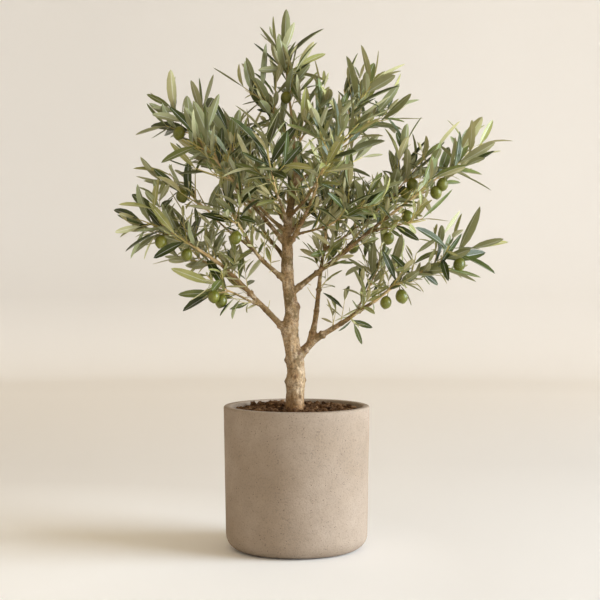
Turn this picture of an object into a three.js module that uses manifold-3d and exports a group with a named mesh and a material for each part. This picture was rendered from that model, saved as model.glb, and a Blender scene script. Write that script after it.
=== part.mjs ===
// A young olive tree in a plain round concrete pot, with a few green olives on it.
// Millimetres, +Z up. The origin is the middle of the pot's flat underside, and the
// widest spread of the crown lies along X.
//
// Every limb is one tapering arc that leaves its carrier at a stated place, heading and
// rise. Where a bough stops, its mass of foliage carries on from its tip: one leafy stem
// with side twigs, leaves in crossed pairs and here and there an olive. The places come
// from the named sizes below and from a repeatable chance, so the tree always grows alike.

import * as THREE from 'three';
import { mergeVertices } from 'three/addons/utils/BufferGeometryUtils.js';
import Module from 'manifold-3d';

const wasm = await Module();
wasm.setup();

// ---------------------------------------------------------------- driving dimensions

const GAP = 0.3; // clearance between pieces that touch

const POT = {
  height: 215,
  rimRadius: 110,
  footRadius: 106.5, // outside, where the foot's rounding ends
  footRound: 22,
  wall: 11,
  floor: 14,
  lipRound: 3.2,
  segments: 36,
};

const GROUND = 207; // height of the soil at the foot of the trunk
const SOIL = { flatRadius: 20, mound: 3.5, crumb: 4.5, rings: 5 };

// The trunk from its flat cut at the soil up to the tip of its leader:
// height above the soil, place across, place in depth, thickness.
const TRUNK_STATIONS = [
  [0, -2, 0, 31],
  [14, -2, 0, 28],
  [30, -2, 0, 28],
  [44, -2, 0, 29],
  [62, -1, 1, 28],
  [98, -7, 2, 24],
  [123, -10, 3, 25],
  [152, -7, 3, 21.5],
  [184, -12, 2, 18.5],
  [212, -14, 1, 19],
  [240, -14, 0, 17],
  [268, -15, 0, 13.5],
  [302, -10, 0, 11.5],
  [322, -6, 1, 9.6],
  [346, 0, 2, 11],
  [370, -2, 3, 7],
  [405, -4, 3, 5.4],
  [440, -7, 3, 4.4],
];
const TRUNK_SIDES = 12;
const FLARE = { height: 34, lobes: 3, depth: 0.1, turn: 40 };

const BOUGH = {
  sides: 7,
  thinSides: 5,
  thin: 7, // boughs under this thickness at the foot have fewer sides
};
const ARC_STEPS = 4;
const CROOK = 9; // degrees that a limb wanders from its arc at each step
const COLLAR = { swell: 0.34, length: 9 };
const HEADING_REACH = 0.05; // share of a line on either side over which its way is taken

const TWIG_SIDES = 3;
const PRISM = 1.4; // a three-sided stem is this much wider over its corners than a round one
const STEM = {
  gap: 0.5, // between its foot and the tip of its bough
  tip: 3.2, // thickness
  bare: 0.3, // share of its length without leaves
};
const TWIG = {
  radii: [0.6, 1.6, 1.5], // its foot is inside the stem
  steps: 2,
  bare: 0.12,
  first: 0.1, // where the first one stands on the stem, then the share that all of them span
  span: 0.72,
  stray: 0.5, // how far one may stand from its even place
  turn: 137.5, // degrees round the stem from one to the next
  turnStray: 40,
  spread: 48, // degrees away from the stem
  spreadStray: 14,
  lean: 0.25, // how strongly it starts upwards
  upturn: 0.1, // and how strongly it bends upwards at each step
  least: 0.8, // shortest and extra share of its stated length
  extra: 0.4,
  shortening: 0.3, // towards the stem's tip
};
const INTERNODE = 17; // from one pair of leaves to the next
const LEAF_EVERY = 2; // the solids carry every second pair, counted from the tip
const LAST_NODE = 0.97; // share of a shoot's length at its last pair of leaves
const LEAF = {
  length: 64,
  halfWidth: 0.105, // share of its length
  halfThickness: 0.9,
  belly: 0.44, // share of its length at its widest place
  neck: 0.3, // share near the root where leaves of one shoot may touch
  foot: 0.2, // share near the root that may lie against its shoot
  sunk: 0.3,
  upward: 0.4, // how far its upper side is turned up, away from the shoot
  twist: 80,
};
// Degrees that a leaf is turned round its shoot: by pair, within the pair, by shoot, by mass.
const LEAF_TURN = { pair: 90, across: 180, shoot: 40, mass: 53, stray: 30 };
// Degrees that a leaf stands out from its shoot, and how strongly it is lifted.
const LEAF_SPREAD = { root: 56, less: 30, stray: 16, tip: 16, tipStray: 12, lift: 0.12 };
// Share of the full length: least, and more towards two thirds of the shoot.
const LEAF_SIZE = { least: 0.72, more: 0.45, from: 0.15, over: 0.75, low: 0.85, stray: 0.3, tip: 0.92 };
const OLIVE = {
  halfWidth: 9.6,
  halfLength: 10.2,
  stalk: 8,
  stalkThickness: 1.8,
  hang: -72,
  sides: 6,
  core: 5, // half length and share of the width of the part that leaves keep clear of
  coreWidth: 0.7,
};

const SPACE_SHARE = 18; // how far a leaf may lean into the next mass's space
const LEAF_CLEARANCE = 3.4;
const OWN_CLEARANCE = 2.4;
const WOOD_CLEARANCE = 1;
const LIMB_CLEARANCE = 3;
const TWIG_ROOM = 9; // between a twig and the other masses' stems and twigs

// Open places in the crown, clear from front to back: place across, height above the soil,
// half the width and half the height of each.
const OPENINGS = [
  [-97, 471, 17, 30],
  [60, 492, 12, 24],
  [109, 381, 26, 20],
  [-140, 345, 17, 26],
  [-208, 388, 30, 13],
  [182, 243, 14, 14],
  [-43, 190, 22, 34],
  [28, 176, 14, 26],
];

// Each bough: what carries it and where (a height above the soil on the trunk, or a share
// of the carrying bough's length), its heading (0 is +X, 90 is +Y) and rise in degrees,
// how far it turns and lifts along its length, and its thickness at foot and tip.
// Its shoot is the stem of the foliage that grows on from the tip.
const LIMBS = [
  {
    name: 'right_fork', on: 'trunk', at: 77, heading: 4, rise: 43,
    lift: 6, length: 43, thick: [14.8, 11.4],
  },
  {
    name: 'low_left', on: 'trunk', at: 113, heading: 190, rise: 50,
    lift: -10, length: 150, thick: [10.4, 5.6],
    shoot: {
      length: 142, turn: -4, lift: -24, twigs: 5, twig: 60, roll: 20, droop: 0.24, olives: [0.4, 0.7],
    },
  },
  {
    name: 'low_left_side', on: 'low_left', at: 0.42, heading: 204, rise: 20,
    lift: 6, length: 50, thick: [4.6, 3.2],
    shoot: { length: 36, lift: -10, twigs: 3, twig: 30, roll: 80, droop: 0.6, olives: [0.4, 0.95] },
  },
  {
    name: 'low_left_back', on: 'low_left', at: 0.62, heading: 152, rise: 30,
    length: 50, thick: [4.6, 3.2],
    shoot: { length: 92, lift: 10, twigs: 3, twig: 55, roll: 0 },
  },
  {
    name: 'mid_left', on: 'trunk', at: 192, heading: 212, rise: 36,
    turn: 6, lift: 14, length: 112, thick: [8.4, 4.2],
    shoot: { length: 50, turn: 20, lift: 8, twigs: 3, twig: 45, roll: 60, olives: [0.2] },
  },
  {
    name: 'left_spray', on: 'mid_left', at: 0.66, heading: 172, rise: 36,
    lift: 6, length: 72, thick: [4.4, 3],
    shoot: { length: 104, lift: 4, twigs: 4, twig: 52, roll: 30, olives: [0.8] },
  },
  {
    name: 'upper_left', on: 'trunk', at: 247, heading: 177, rise: 48,
    lift: 2, length: 128, thick: [7.4, 4.4],
    shoot: { length: 140, lift: -4, twigs: 4, twig: 60, roll: 10, olives: [0.65, 0.85] },
  },
  {
    name: 'left_crest', on: 'upper_left', at: 0.8, heading: 222, rise: 66,
    lift: 4, length: 34, thick: [3.6, 3],
    shoot: { length: 66, lift: 4, twigs: 3, twig: 52, roll: 40 },
  },
  {
    name: 'upper_left_back', on: 'upper_left', at: 0.55, heading: 128, rise: 38,
    lift: 4, length: 52, thick: [4.2, 3],
    shoot: { length: 96, lift: 8, twigs: 4, twig: 56, roll: 0 },
  },
  {
    name: 'inner_left', on: 'trunk', at: 280, heading: 150, rise: 50,
    length: 60, thick: [5.6, 3.4],
    shoot: { length: 92, lift: 10, twigs: 4, twig: 56, roll: 0 },
  },
  {
    name: 'front_left', on: 'trunk', at: 270, heading: 224, rise: 30,
    lift: 6, length: 112, thick: [6.2, 3.4],
    shoot: { length: 104, lift: 6, twigs: 4, twig: 56, roll: 50 },
  },
  {
    name: 'front_mid', on: 'trunk', at: 284, heading: 258, rise: 22,
    lift: 8, length: 98, thick: [5.8, 3.2],
    shoot: { length: 96, lift: 6, twigs: 3, twig: 50, roll: 10 },
  },
  {
    name: 'upper_right', on: 'trunk', at: 247, heading: -52, rise: 36,
    turn: 10, lift: 26, length: 92, thick: [8.4, 4],
    shoot: { length: 112, turn: 30, lift: 10, twigs: 4, twig: 58, roll: 30 },
  },
  {
    name: 'inner_right', on: 'upper_right', at: 0.26, heading: -22, rise: 14,
    lift: 6, length: 56, thick: [4.4, 3],
    shoot: { length: 74, lift: 24, twigs: 4, twig: 54, roll: 30 },
  },
  {
    name: 'front_right', on: 'trunk', at: 292, heading: -64, rise: 26,
    lift: 8, length: 104, thick: [5.8, 3.2],
    shoot: { length: 104, lift: 4, twigs: 4, twig: 54, roll: 70 },
  },
  {
    name: 'top_right_outer', on: 'trunk', at: 341, heading: 14, rise: 41,
    length: 62, thick: [5.2, 3.4],
    shoot: { length: 122, twigs: 4, twig: 54, roll: 30 },
  },
  {
    name: 'top_right', on: 'top_right_outer', at: 0.72, heading: -18, rise: 56,
    length: 32, thick: [3.6, 2.8],
    shoot: { length: 116, lift: 2, twigs: 4, twig: 50, roll: 0 },
  },
  {
    name: 'low_right', on: 'right_fork', at: 0.97, heading: -12, rise: 26,
    lift: 10, length: 106, thick: [9.4, 5.2],
    shoot: {
      length: 170, turn: 6, lift: -12, twigs: 6, twig: 58, roll: 30, droop: 0.22, olives: [0.17, 0.28, 0.9],
    },
  },
  {
    name: 'right_upright', on: 'right_fork', at: 0.8, heading: 18, rise: 80,
    lift: 4, length: 154, thick: [9.6, 4.4],
    shoot: { length: 78, lift: -6, twigs: 4, twig: 56, roll: 30 },
  },
  {
    name: 'low_right_inner', on: 'low_right', at: 0.72, heading: 48, rise: 50,
    length: 44, thick: [3.8, 2.8],
    shoot: { length: 64, lift: 10, twigs: 3, twig: 52, roll: 30 },
  },
  {
    name: 'right_shoulder', on: 'right_upright', at: 0.93, heading: -8, rise: 34,
    lift: 10, length: 92, thick: [4.4, 3.2],
    shoot: { length: 112, lift: 8, twigs: 5, twig: 54, roll: 60, olives: [0.58, 0.74] },
  },
  {
    name: 'mid_right', on: 'trunk', at: 175, heading: -8, rise: 35,
    lift: 6, length: 192, thick: [8.4, 4.6],
    shoot: { length: 172, turn: 6, lift: -6, twigs: 5, twig: 58, roll: 0, olives: [0.15, 0.48, 0.6] },
  },
  {
    name: 'mid_right_under', on: 'mid_right', at: 0.8, heading: -30, rise: 6,
    lift: 4, length: 34, thick: [3.8, 2.8],
    shoot: { length: 56, lift: 4, twigs: 3, twig: 44, roll: 30, olives: [0.05] },
  },
  {
    name: 'mid_right_back', on: 'mid_right', at: 0.42, heading: 48, rise: 34,
    lift: 4, length: 66, thick: [4.8, 3.2],
    shoot: { length: 104, lift: 6, twigs: 4, twig: 56, roll: 0, olives: [0.05] },
  },
  {
    name: 'back_left', on: 'trunk', at: 224, heading: 126, rise: 34,
    lift: 6, length: 124, thick: [7.2, 3.6],
    shoot: { length: 112, lift: 8, twigs: 4, twig: 58, roll: 20 },
  },
  {
    name: 'back_right', on: 'trunk', at: 262, heading: 56, rise: 30,
    lift: 6, length: 116, thick: [6.6, 3.6],
    shoot: { length: 112, lift: 8, twigs: 4, twig: 58, roll: 20 },
  },
  {
    name: 'back_mid', on: 'trunk', at: 236, heading: 90, rise: 28,
    lift: 10, length: 110, thick: [6.4, 3.4],
    shoot: { length: 108, lift: 8, twigs: 4, twig: 58, roll: 20 },
  },
  {
    name: 'crest_left', on: 'trunk', at: 394, heading: 188, rise: 62,
    shoot: { length: 118, lift: -8, twigs: 4, twig: 50, roll: 0, thick: 3.4 },
  },
  {
    name: 'crest_right', on: 'trunk', at: 392, heading: -34, rise: 52,
    shoot: { length: 88, lift: 6, twigs: 4, twig: 46, roll: 30, thick: 3.4 },
  },
  {
    name: 'crown_tip', on: 'trunk', at: 440, heading: 186, rise: 80,
    shoot: { length: 106, lift: 4, twigs: 4, twig: 50, roll: 0, thick: 4.2, olives: [0.45] },
  },
];

// ---------------------------------------------------------------- materials

function finish(color, roughness) {
  return new THREE.MeshStandardMaterial({ color, roughness, metalness: 0 });
}

const concrete = finish(0xb7a48c, 0.92);
const earth = finish(0x4a2c1b, 1);
const bark = finish(0x9a7f5c, 0.85);
const leafage = finish(0x7a8360, 0.6);

// ---------------------------------------------------------------- small geometry tools

const DEG = Math.PI / 180;
const UP = new THREE.Vector3(0, 0, 1);
const ACROSS = new THREE.Vector3(0, 1, 0);

// The same whole numbers always give the same share between 0 and 1.
function chance(...keys) {
  let mixed = 2166136261;
  for (const key of keys) {
    mixed = Math.imul(mixed ^ key, 16777619) >>> 0;
    mixed ^= mixed >>> 13;
    mixed = Math.imul(mixed, 0x5bd1e995) >>> 0;
    mixed = (mixed ^ (mixed >>> 15)) >>> 0;
  }
  return mixed / 4294967296;
}

function direction(heading, rise) {
  const h = heading * DEG;
  const r = rise * DEG;
  return new THREE.Vector3(Math.cos(h) * Math.cos(r), Math.sin(h) * Math.cos(r), Math.sin(r));
}

function arc({ start, heading, rise, turn = 0, lift = 0, length, seed }) {
  const points = [start.clone()];
  for (let i = 0; i < ARC_STEPS; i += 1) {
    const share = (i + 0.5) / ARC_STEPS;
    const swing = CROOK * (chance(seed, i, 11) - 0.5);
    const bob = CROOK * (chance(seed, i, 12) - 0.5);
    const step = direction(heading + turn * share + swing, rise + lift * share + bob);
    points.push(points[i].clone().addScaledVector(step, length / ARC_STEPS));
  }
  return points;
}

function placeAlong(points, share) {
  const t = Math.min(Math.max(share, 0), 1) * (points.length - 1);
  const i = Math.min(Math.floor(t), points.length - 2);
  return points[i].clone().lerp(points[i + 1], t - i);
}

function headingAlong(points, share) {
  const before = placeAlong(points, share - HEADING_REACH);
  return placeAlong(points, share + HEADING_REACH).sub(before).normalize();
}

function pathLength(points) {
  return points.slice(1).reduce((sum, point, i) => sum + point.distanceTo(points[i]), 0);
}

// A side way out from a shoot, turned round it by roll degrees.
function sideways(along, roll) {
  const side = along.clone().cross(Math.abs(along.z) < 0.98 ? UP : ACROSS).normalize();
  return side.applyAxisAngle(along, roll * DEG);
}

// A closed body from rings of points and the flat ends that close it.
function ringsGeometry(rings) {
  const sides = rings[0].length;
  const positions = rings.flat().flatMap((point) => [point.x, point.y, point.z]);
  const index = [];
  for (let r = 0; r + 1 < rings.length; r += 1) {
    for (let s = 0; s < sides; s += 1) {
      const a = r * sides + s;
      const b = r * sides + (s + 1) % sides;
      index.push(a, b, b + sides, a, b + sides, a + sides);
    }
  }
  const last = (rings.length - 1) * sides;
  for (let s = 1; s + 1 < sides; s += 1) {
    index.push(0, s + 1, s);
    index.push(last, last + s, last + s + 1);
  }
  const geometry = new THREE.BufferGeometry();
  geometry.setAttribute('position', new THREE.Float32BufferAttribute(positions, 3));
  geometry.setIndex(index);
  return geometry;
}

// A round limb along a line of points; section scales each ring's radius round its edge.
function limbGeometry(points, radii, sides, section = () => 1) {
  const rings = [];
  let along = points[1].clone().sub(points[0]).normalize();
  let side = sideways(along, 0);
  points.forEach((point, i) => {
    const before = points[Math.max(i - 1, 0)];
    const after = points[Math.min(i + 1, points.length - 1)];
    const next = after.clone().sub(before).normalize();
    side = side.applyQuaternion(new THREE.Quaternion().setFromUnitVectors(along, next));
    along = next;
    const ring = [];
    for (let s = 0; s < sides; s += 1) {
      const angle = (2 * Math.PI * s) / sides;
      const out = side.clone().applyAxisAngle(along, angle);
      ring.push(point.clone().addScaledVector(out, radii[i] * section(point, angle)));
    }
    rings.push(ring);
  });
  return ringsGeometry(rings);
}

function toSolid(geometry) {
  const bare = geometry.clone();
  bare.deleteAttribute('normal');
  bare.deleteAttribute('uv');
  const merged = mergeVertices(bare);
  const mesh = new wasm.Mesh({
    numProp: 3,
    vertProperties: new Float32Array(merged.attributes.position.array),
    triVerts: new Uint32Array(merged.index.array),
  });
  return new wasm.Manifold(mesh);
}

function toGeometry(solid) {
  const mesh = solid.getMesh();
  const geometry = new THREE.BufferGeometry();
  geometry.setAttribute('position', new THREE.Float32BufferAttribute(mesh.vertProperties, 3));
  geometry.setIndex(Array.from(mesh.triVerts));
  geometry.computeVertexNormals();
  return geometry;
}

// The biggest body of a cut solid, without the scraps that a cut can leave.
function mainBody(solid) {
  return solid.decompose().sort((a, b) => b.volume() - a.volume())[0];
}

// Shortest distance between two straight lines a-b and c-d.
function lineDistance(a, b, c, d) {
  const u = b.clone().sub(a);
  const v = d.clone().sub(c);
  const w = a.clone().sub(c);
  const uu = u.dot(u);
  const vv = v.dot(v);
  const uv = u.dot(v);
  const uw = u.dot(w);
  const vw = v.dot(w);
  const spread = uu * vv - uv * uv;
  let s = spread > 1e-9 ? Math.min(Math.max((uv * vw - vv * uw) / spread, 0), 1) : 0;
  const t = Math.min(Math.max((uv * s + vw) / vv, 0), 1);
  s = Math.min(Math.max((uv * t - uw) / uu, 0), 1);
  return w.addScaledVector(u, s).addScaledVector(v, -t).length();
}

function pieceOf(name, geometry, material) {
  const mesh = new THREE.Mesh(geometry, material);
  mesh.name = name;
  return mesh;
}

// ---------------------------------------------------------------- pot and soil

// A thick plain cylinder that widens a little upwards, with a rounded foot and a soft lip.
function potGeometry() {
  const { height, rimRadius, footRadius, footRound, wall, floor, lipRound, segments } = POT;
  const corner = (x, y, radius, from, steps) => {
    const points = [];
    for (let i = 0; i <= steps; i += 1) {
      const angle = (from + (90 * i) / steps) * DEG;
      points.push(new THREE.Vector2(x + radius * Math.cos(angle), y + radius * Math.sin(angle)));
    }
    return points;
  };
  const profile = [
    new THREE.Vector2(0, 0),
    ...corner(footRadius - footRound, footRound, footRound, -90, 3),
    ...corner(rimRadius - lipRound, height - lipRound, lipRound, 0, 2),
    ...corner(rimRadius - wall + lipRound, height - lipRound, lipRound, 90, 2),
    new THREE.Vector2(footRadius - wall, floor),
    new THREE.Vector2(0, floor),
  ];
  return new THREE.LatheGeometry(profile, segments).rotateX(Math.PI / 2);
}

function innerRadiusAt(height) {
  const share = (height - POT.floor) / (POT.height - POT.floor);
  return POT.footRadius - POT.wall + share * (POT.rimRadius - POT.footRadius);
}

// Crumbly soil that fills the pot, level under the trunk and heaped a little around it.
function soilGeometry() {
  const sectors = POT.segments / 2;
  const edge = Math.cos(Math.PI / POT.segments);
  const bottom = POT.floor + GAP;
  const rimLevel = GROUND - 1;
  const topRadius = innerRadiusAt(rimLevel) * edge - GAP;
  const ringAt = (radius, heightAt) => {
    const ring = [];
    for (let s = 0; s < sectors; s += 1) {
      const angle = (2 * Math.PI * s) / sectors;
      const [x, y] = [radius * Math.cos(angle), radius * Math.sin(angle)];
      ring.push(new THREE.Vector3(x, y, heightAt(s)));
    }
    return ring;
  };
  const rings = [
    ringAt(innerRadiusAt(bottom) * edge - GAP, () => bottom),
    ringAt(topRadius, () => rimLevel),
  ];
  for (let r = SOIL.rings - 1; r > 0; r -= 1) {
    const share = r / SOIL.rings;
    const radius = SOIL.flatRadius + share * (topRadius - SOIL.flatRadius);
    const heap = SOIL.mound * Math.sin(Math.PI * share);
    rings.push(ringAt(radius, (s) => GROUND - 1 + heap + SOIL.crumb * (chance(r, s, 21) - 0.5)));
  }
  rings.push(ringAt(SOIL.flatRadius, () => GROUND - GAP));
  return ringsGeometry(rings);
}

// ---------------------------------------------------------------- trunk and boughs

const trunkPoints = TRUNK_STATIONS.map(([height, x, y]) => new THREE.Vector3(x, y, GROUND + height));
const trunkRadii = TRUNK_STATIONS.map(([, , , thickness]) => thickness / 2);

// The roots begin to spread just above the soil, in a few soft lobes.
function flareSection(point, angle) {
  const low = Math.max(0, 1 - (point.z - GROUND) / FLARE.height);
  return 1 + FLARE.depth * low * Math.cos(FLARE.lobes * angle + FLARE.turn * DEG);
}

function trunkSolid(extra) {
  const radii = trunkRadii.map((radius) => radius + extra);
  return toSolid(limbGeometry(trunkPoints, radii, TRUNK_SIDES, flareSection));
}

function placeOnTrunk(height) {
  const z = GROUND + height;
  const i = Math.min(trunkPoints.findIndex((point) => point.z >= z), trunkPoints.length - 1);
  const [below, above] = [trunkPoints[i - 1], trunkPoints[i]];
  return below.clone().lerp(above, (z - below.z) / (above.z - below.z));
}

// Thickest at its collar, then an even taper to the tip.
function boughRadii(limb, extra) {
  const [foot, tip] = limb.thick;
  return limb.points.map((point, i) => {
    const share = i / ARC_STEPS;
    const past = share * limb.length - limb.seatDepth;
    const collar = 1 + COLLAR.swell * Math.max(0, 1 - Math.max(past, 0) / COLLAR.length);
    return ((foot + (tip - foot) * share) / 2) * collar + extra;
  });
}

function boughSolid(limb, extra) {
  const sides = limb.thick[0] < BOUGH.thin ? BOUGH.thinSides : BOUGH.sides;
  return toSolid(limbGeometry(limb.points, boughRadii(limb, extra), sides));
}

function radiusOnCarrier(limb) {
  if (limb.on !== 'trunk') {
    const [foot, tip] = grown[limb.on].thick;
    return (foot + (tip - foot) * limb.at) / 2;
  }
  const i = trunkPoints.findIndex((point) => point.z >= GROUND + limb.at);
  return trunkRadii[i];
}

// Limbs in growing order, each with its line of points.
const grown = {};
LIMBS.forEach((limb, seed) => {
  const start = limb.on === 'trunk' ? placeOnTrunk(limb.at) : placeAlong(grown[limb.on].points, limb.at);
  grown[limb.name] = { ...limb, seed, start, seatDepth: radiusOnCarrier(limb) };
  if (limb.thick) {
    grown[limb.name].points = arc({ ...limb, start, seed });
  }
});

const boughs = Object.values(grown).filter((limb) => limb.thick);

// Straight stretches of all the wood that foliage has to keep clear of.
const woodLines = [];
function addWood(points, radii) {
  for (let i = 0; i + 1 < points.length; i += 1) {
    woodLines.push({ a: points[i], b: points[i + 1], radius: Math.max(radii[i], radii[i + 1]) });
  }
}
addWood(trunkPoints, trunkRadii);
boughs.forEach((limb) => addWood(limb.points, boughRadii(limb, 0)));

// ---------------------------------------------------------------- foliage

// The stem of a mass grows on from the bough's tip, or out of the trunk's side.
function stemOf(limb) {
  const { shoot, seed } = limb;
  const heading = limb.heading + (limb.turn ?? 0);
  const rise = limb.rise + (limb.thick ? limb.lift ?? 0 : 0);
  let start = limb.start.clone();
  if (limb.thick) {
    const tip = limb.points[ARC_STEPS];
    const out = tip.clone().sub(limb.points[ARC_STEPS - 1]).normalize();
    start = tip.clone().addScaledVector(out, STEM.gap);
  }
  return arc({ ...shoot, start, heading, rise, seed: seed + 100 });
}

// A side twig: its line of points, bending slowly upwards.
function twigLine(stem, shoot, seed, number) {
  const draw = (n) => chance(seed, number, n);
  const share = TWIG.first + (TWIG.span * (number + TWIG.stray * draw(1))) / shoot.twigs;
  const along = headingAlong(stem, share);
  const roll = shoot.roll + number * TWIG.turn + TWIG.turnStray * (draw(2) - 0.5);
  const spread = (TWIG.spread + TWIG.spreadStray * (draw(3) - 0.5)) * DEG;
  const way = along.clone().multiplyScalar(Math.cos(spread));
  way.addScaledVector(sideways(along, roll), Math.sin(spread));
  way.addScaledVector(UP, TWIG.lean).normalize();
  const size = (TWIG.least + TWIG.extra * draw(4)) * (1 - TWIG.shortening * share);
  const length = shoot.twig * size;
  const points = [placeAlong(stem, share)];
  for (let i = 0; i < TWIG.steps; i += 1) {
    way.addScaledVector(UP, TWIG.upturn).normalize();
    points.push(points[i].clone().addScaledVector(way, length / TWIG.steps));
  }
  return points;
}

// A leaf's own lines: its rib and the four edges from root and tip to its two sides.
function leafLines({ root, tip, left, right }) {
  return [[root, tip], [root, left], [left, tip], [root, right], [right, tip]];
}

// The same without the part near the root, where leaves of one shoot may touch.
function outerLines({ root, tip, left, right }) {
  const neck = root.clone().lerp(tip, LEAF.neck);
  return [[neck, tip], [left, tip], [right, tip]];
}

function makeLeaf({ node, way, up, twist, length }) {
  const root = node.clone().addScaledVector(way, -LEAF.sunk);
  const tip = node.clone().addScaledVector(way, length);
  const across = way.clone().cross(up).normalize().applyAxisAngle(way, twist * DEG);
  const over = across.clone().cross(way).normalize();
  const middle = root.clone().lerp(tip, LEAF.belly);
  const halfWidth = length * LEAF.halfWidth;
  return {
    root,
    tip,
    left: middle.clone().addScaledVector(across, halfWidth),
    right: middle.clone().addScaledVector(across, -halfWidth),
    top: middle.clone().addScaledVector(over, LEAF.halfThickness),
    bottom: middle.clone().addScaledVector(over, -LEAF.halfThickness),
  };
}

// The last pair closes round the shoot's tip and is a little shorter.
function leafSpread(share, atTip, draw) {
  const { root, less, stray, tip, tipStray } = LEAF_SPREAD;
  return atTip ? tip + tipStray * draw : root - less * share + stray * (draw - 0.5);
}

function leafSize(share, atTip, draw) {
  const { least, more, from, over, low, stray, tip } = LEAF_SIZE;
  const swell = least + more * Math.sin(Math.PI * Math.min(1, from + over * share));
  return swell * (low + stray * draw) * (atTip ? tip : 1);
}

// Leaves in crossed pairs along a shoot, closing up towards its tip.
function leavesOf(shoot, mass) {
  const { points, first, number } = shoot;
  const pairs = Math.max(2, Math.round((pathLength(points) * (1 - first)) / INTERNODE)) + 1;
  const leaves = [];
  for (let j = pairs - 1; j >= 0; j -= LEAF_EVERY) {
    const share = first + ((LAST_NODE - first) * j) / (pairs - 1);
    const node = placeAlong(points, share);
    const along = headingAlong(points, share);
    const atTip = j === pairs - 1;
    for (let k = 0; k < 2; k += 1) {
      const draw = (n) => chance(mass.seed, number, j, k, n);
      const roll = LEAF_TURN.pair * j + LEAF_TURN.across * k + LEAF_TURN.shoot * number
        + LEAF_TURN.mass * mass.seed + LEAF_TURN.stray * (draw(5) - 0.5);
      const angle = leafSpread(share, atTip, draw(6)) * DEG;
      const way = along.clone().multiplyScalar(Math.cos(angle));
      way.addScaledVector(sideways(along, roll), Math.sin(angle));
      way.addScaledVector(UP, LEAF_SPREAD.lift - (mass.shoot.droop ?? 0)).normalize();
      const length = LEAF.length * leafSize(share, atTip, draw(7));
      const up = along.clone().addScaledVector(UP, LEAF.upward);
      const twist = LEAF.twist * (draw(8) - 0.5);
      leaves.push(makeLeaf({ node, way, up, twist, length }));
    }
  }
  return leaves;
}

// An olive on its short stalk, hanging from the stem.
function makeOlive(mass, share, number) {
  const node = placeAlong(mass.stem, share);
  const hang = direction(360 * chance(mass.seed, number, 31), OLIVE.hang);
  const middle = node.clone().addScaledVector(hang, OLIVE.stalk + OLIVE.halfLength);
  return { node, middle, hang };
}

function nearestOf(lines, a, b) {
  return Math.min(...lines.map((line) => lineDistance(a, b, line[0], line[1])));
}

function stretches(points) {
  return points.slice(1).map((point, i) => [points[i], point]);
}

const masses = Object.values(grown).filter((limb) => limb.shoot);
masses.forEach((mass) => {
  mass.stem = stemOf(mass);
  mass.shoots = [{ points: mass.stem, first: STEM.bare, number: 0 }];
  mass.space = stretches(mass.stem);
});

function clearOfWood(a, b, radius) {
  return woodLines.every((wood) => lineDistance(a, b, wood.a, wood.b) > wood.radius + radius);
}

// A twig keeps clear of the wood and of the other masses' stems and twigs.
masses.forEach((mass) => {
  const others = masses.filter((other) => other !== mass);
  for (let n = 0; n < mass.shoot.twigs; n += 1) {
    const points = twigLine(mass.stem, mass.shoot, mass.seed, n);
    const clear = stretches(points).every(([a, b]) => clearOfWood(a, b, LIMB_CLEARANCE)
      && others.every((other) => nearestOf(other.space, a, b) > TWIG_ROOM));
    if (clear) {
      mass.shoots.push({ points, first: TWIG.bare, number: n + 1 });
      mass.space.push(...stretches(points));
    }
  }
});

// The space of a mass is what lies nearest to its own twigs.
function inOwnSpace(mass, place) {
  const own = nearestOf(mass.space, place, place.clone().addScaledVector(UP, 0.01));
  return masses.every((other) => other === mass
    || nearestOf(other.space, place, place.clone().addScaledVector(UP, 0.01)) > own - SPACE_SHARE);
}

function inOpening(place) {
  return OPENINGS.some(([x, height, halfWidth, halfHeight]) => {
    const across = (place.x - x) / halfWidth;
    const up = (place.z - GROUND - height) / halfHeight;
    return Math.hypot(across, up) < 1;
  });
}

function boxOf(points) {
  return new THREE.Box3().setFromPoints(points).expandByScalar(LEAF_CLEARANCE);
}

const placed = []; // lines of everything placed so far, with the mass they belong to

function clearOfPlaced(mass, leaf, box) {
  return placed.every((item) => {
    if (!item.box.intersectsBox(box)) {
      return true;
    }
    const own = item.mass === mass;
    const room = own ? OWN_CLEARANCE : LEAF_CLEARANCE;
    const theirs = own ? item.outer : item.lines;
    const ours = own ? outerLines(leaf) : leafLines(leaf);
    return ours.every(([a, b]) => nearestOf(theirs, a, b) > room);
  });
}

masses.forEach((mass) => {
  mass.shoots.forEach(({ points }) => {
    const lines = stretches(points);
    placed.push({ mass, lines, outer: lines, box: boxOf(points) });
  });
});
masses.forEach((mass) => {
  mass.olives = (mass.shoot.olives ?? []).map((share, n) => makeOlive(mass, share, n));
  mass.olives.forEach(({ middle, hang }) => {
    const low = middle.clone().addScaledVector(hang, OLIVE.core);
    const high = middle.clone().addScaledVector(hang, -OLIVE.core);
    const ring = [direction(0, 0), direction(90, 0), direction(180, 0), direction(270, 0)];
    const lines = ring.map((out) => [
      high.clone().addScaledVector(out, OLIVE.halfWidth * OLIVE.coreWidth),
      low.clone().addScaledVector(out, OLIVE.halfWidth * OLIVE.coreWidth),
    ]);
    lines.push([high, low]);
    placed.push({ mass, lines, outer: lines, box: boxOf(lines.flat()) });
  });
});
masses.forEach((mass) => {
  mass.leaves = [];
  mass.shoots.forEach((shoot) => {
    leavesOf(shoot, mass).forEach((leaf) => {
      const outer = leaf.root.clone().lerp(leaf.tip, LEAF.foot);
      const middle = outer.clone().lerp(leaf.tip, 0.5);
      const half = leaf.left.distanceTo(leaf.right) / 2;
      const box = boxOf([leaf.root, leaf.tip, leaf.left, leaf.right]);
      const fits = clearOfWood(outer, leaf.tip, half + WOOD_CLEARANCE)
        && [middle, leaf.tip].every((place) => inOwnSpace(mass, place) && !inOpening(place))
        && clearOfPlaced(mass, leaf, box);
      if (fits) {
        mass.leaves.push(leaf);
        placed.push({ mass, lines: leafLines(leaf), outer: outerLines(leaf), box });
      }
    });
  });
});

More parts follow.
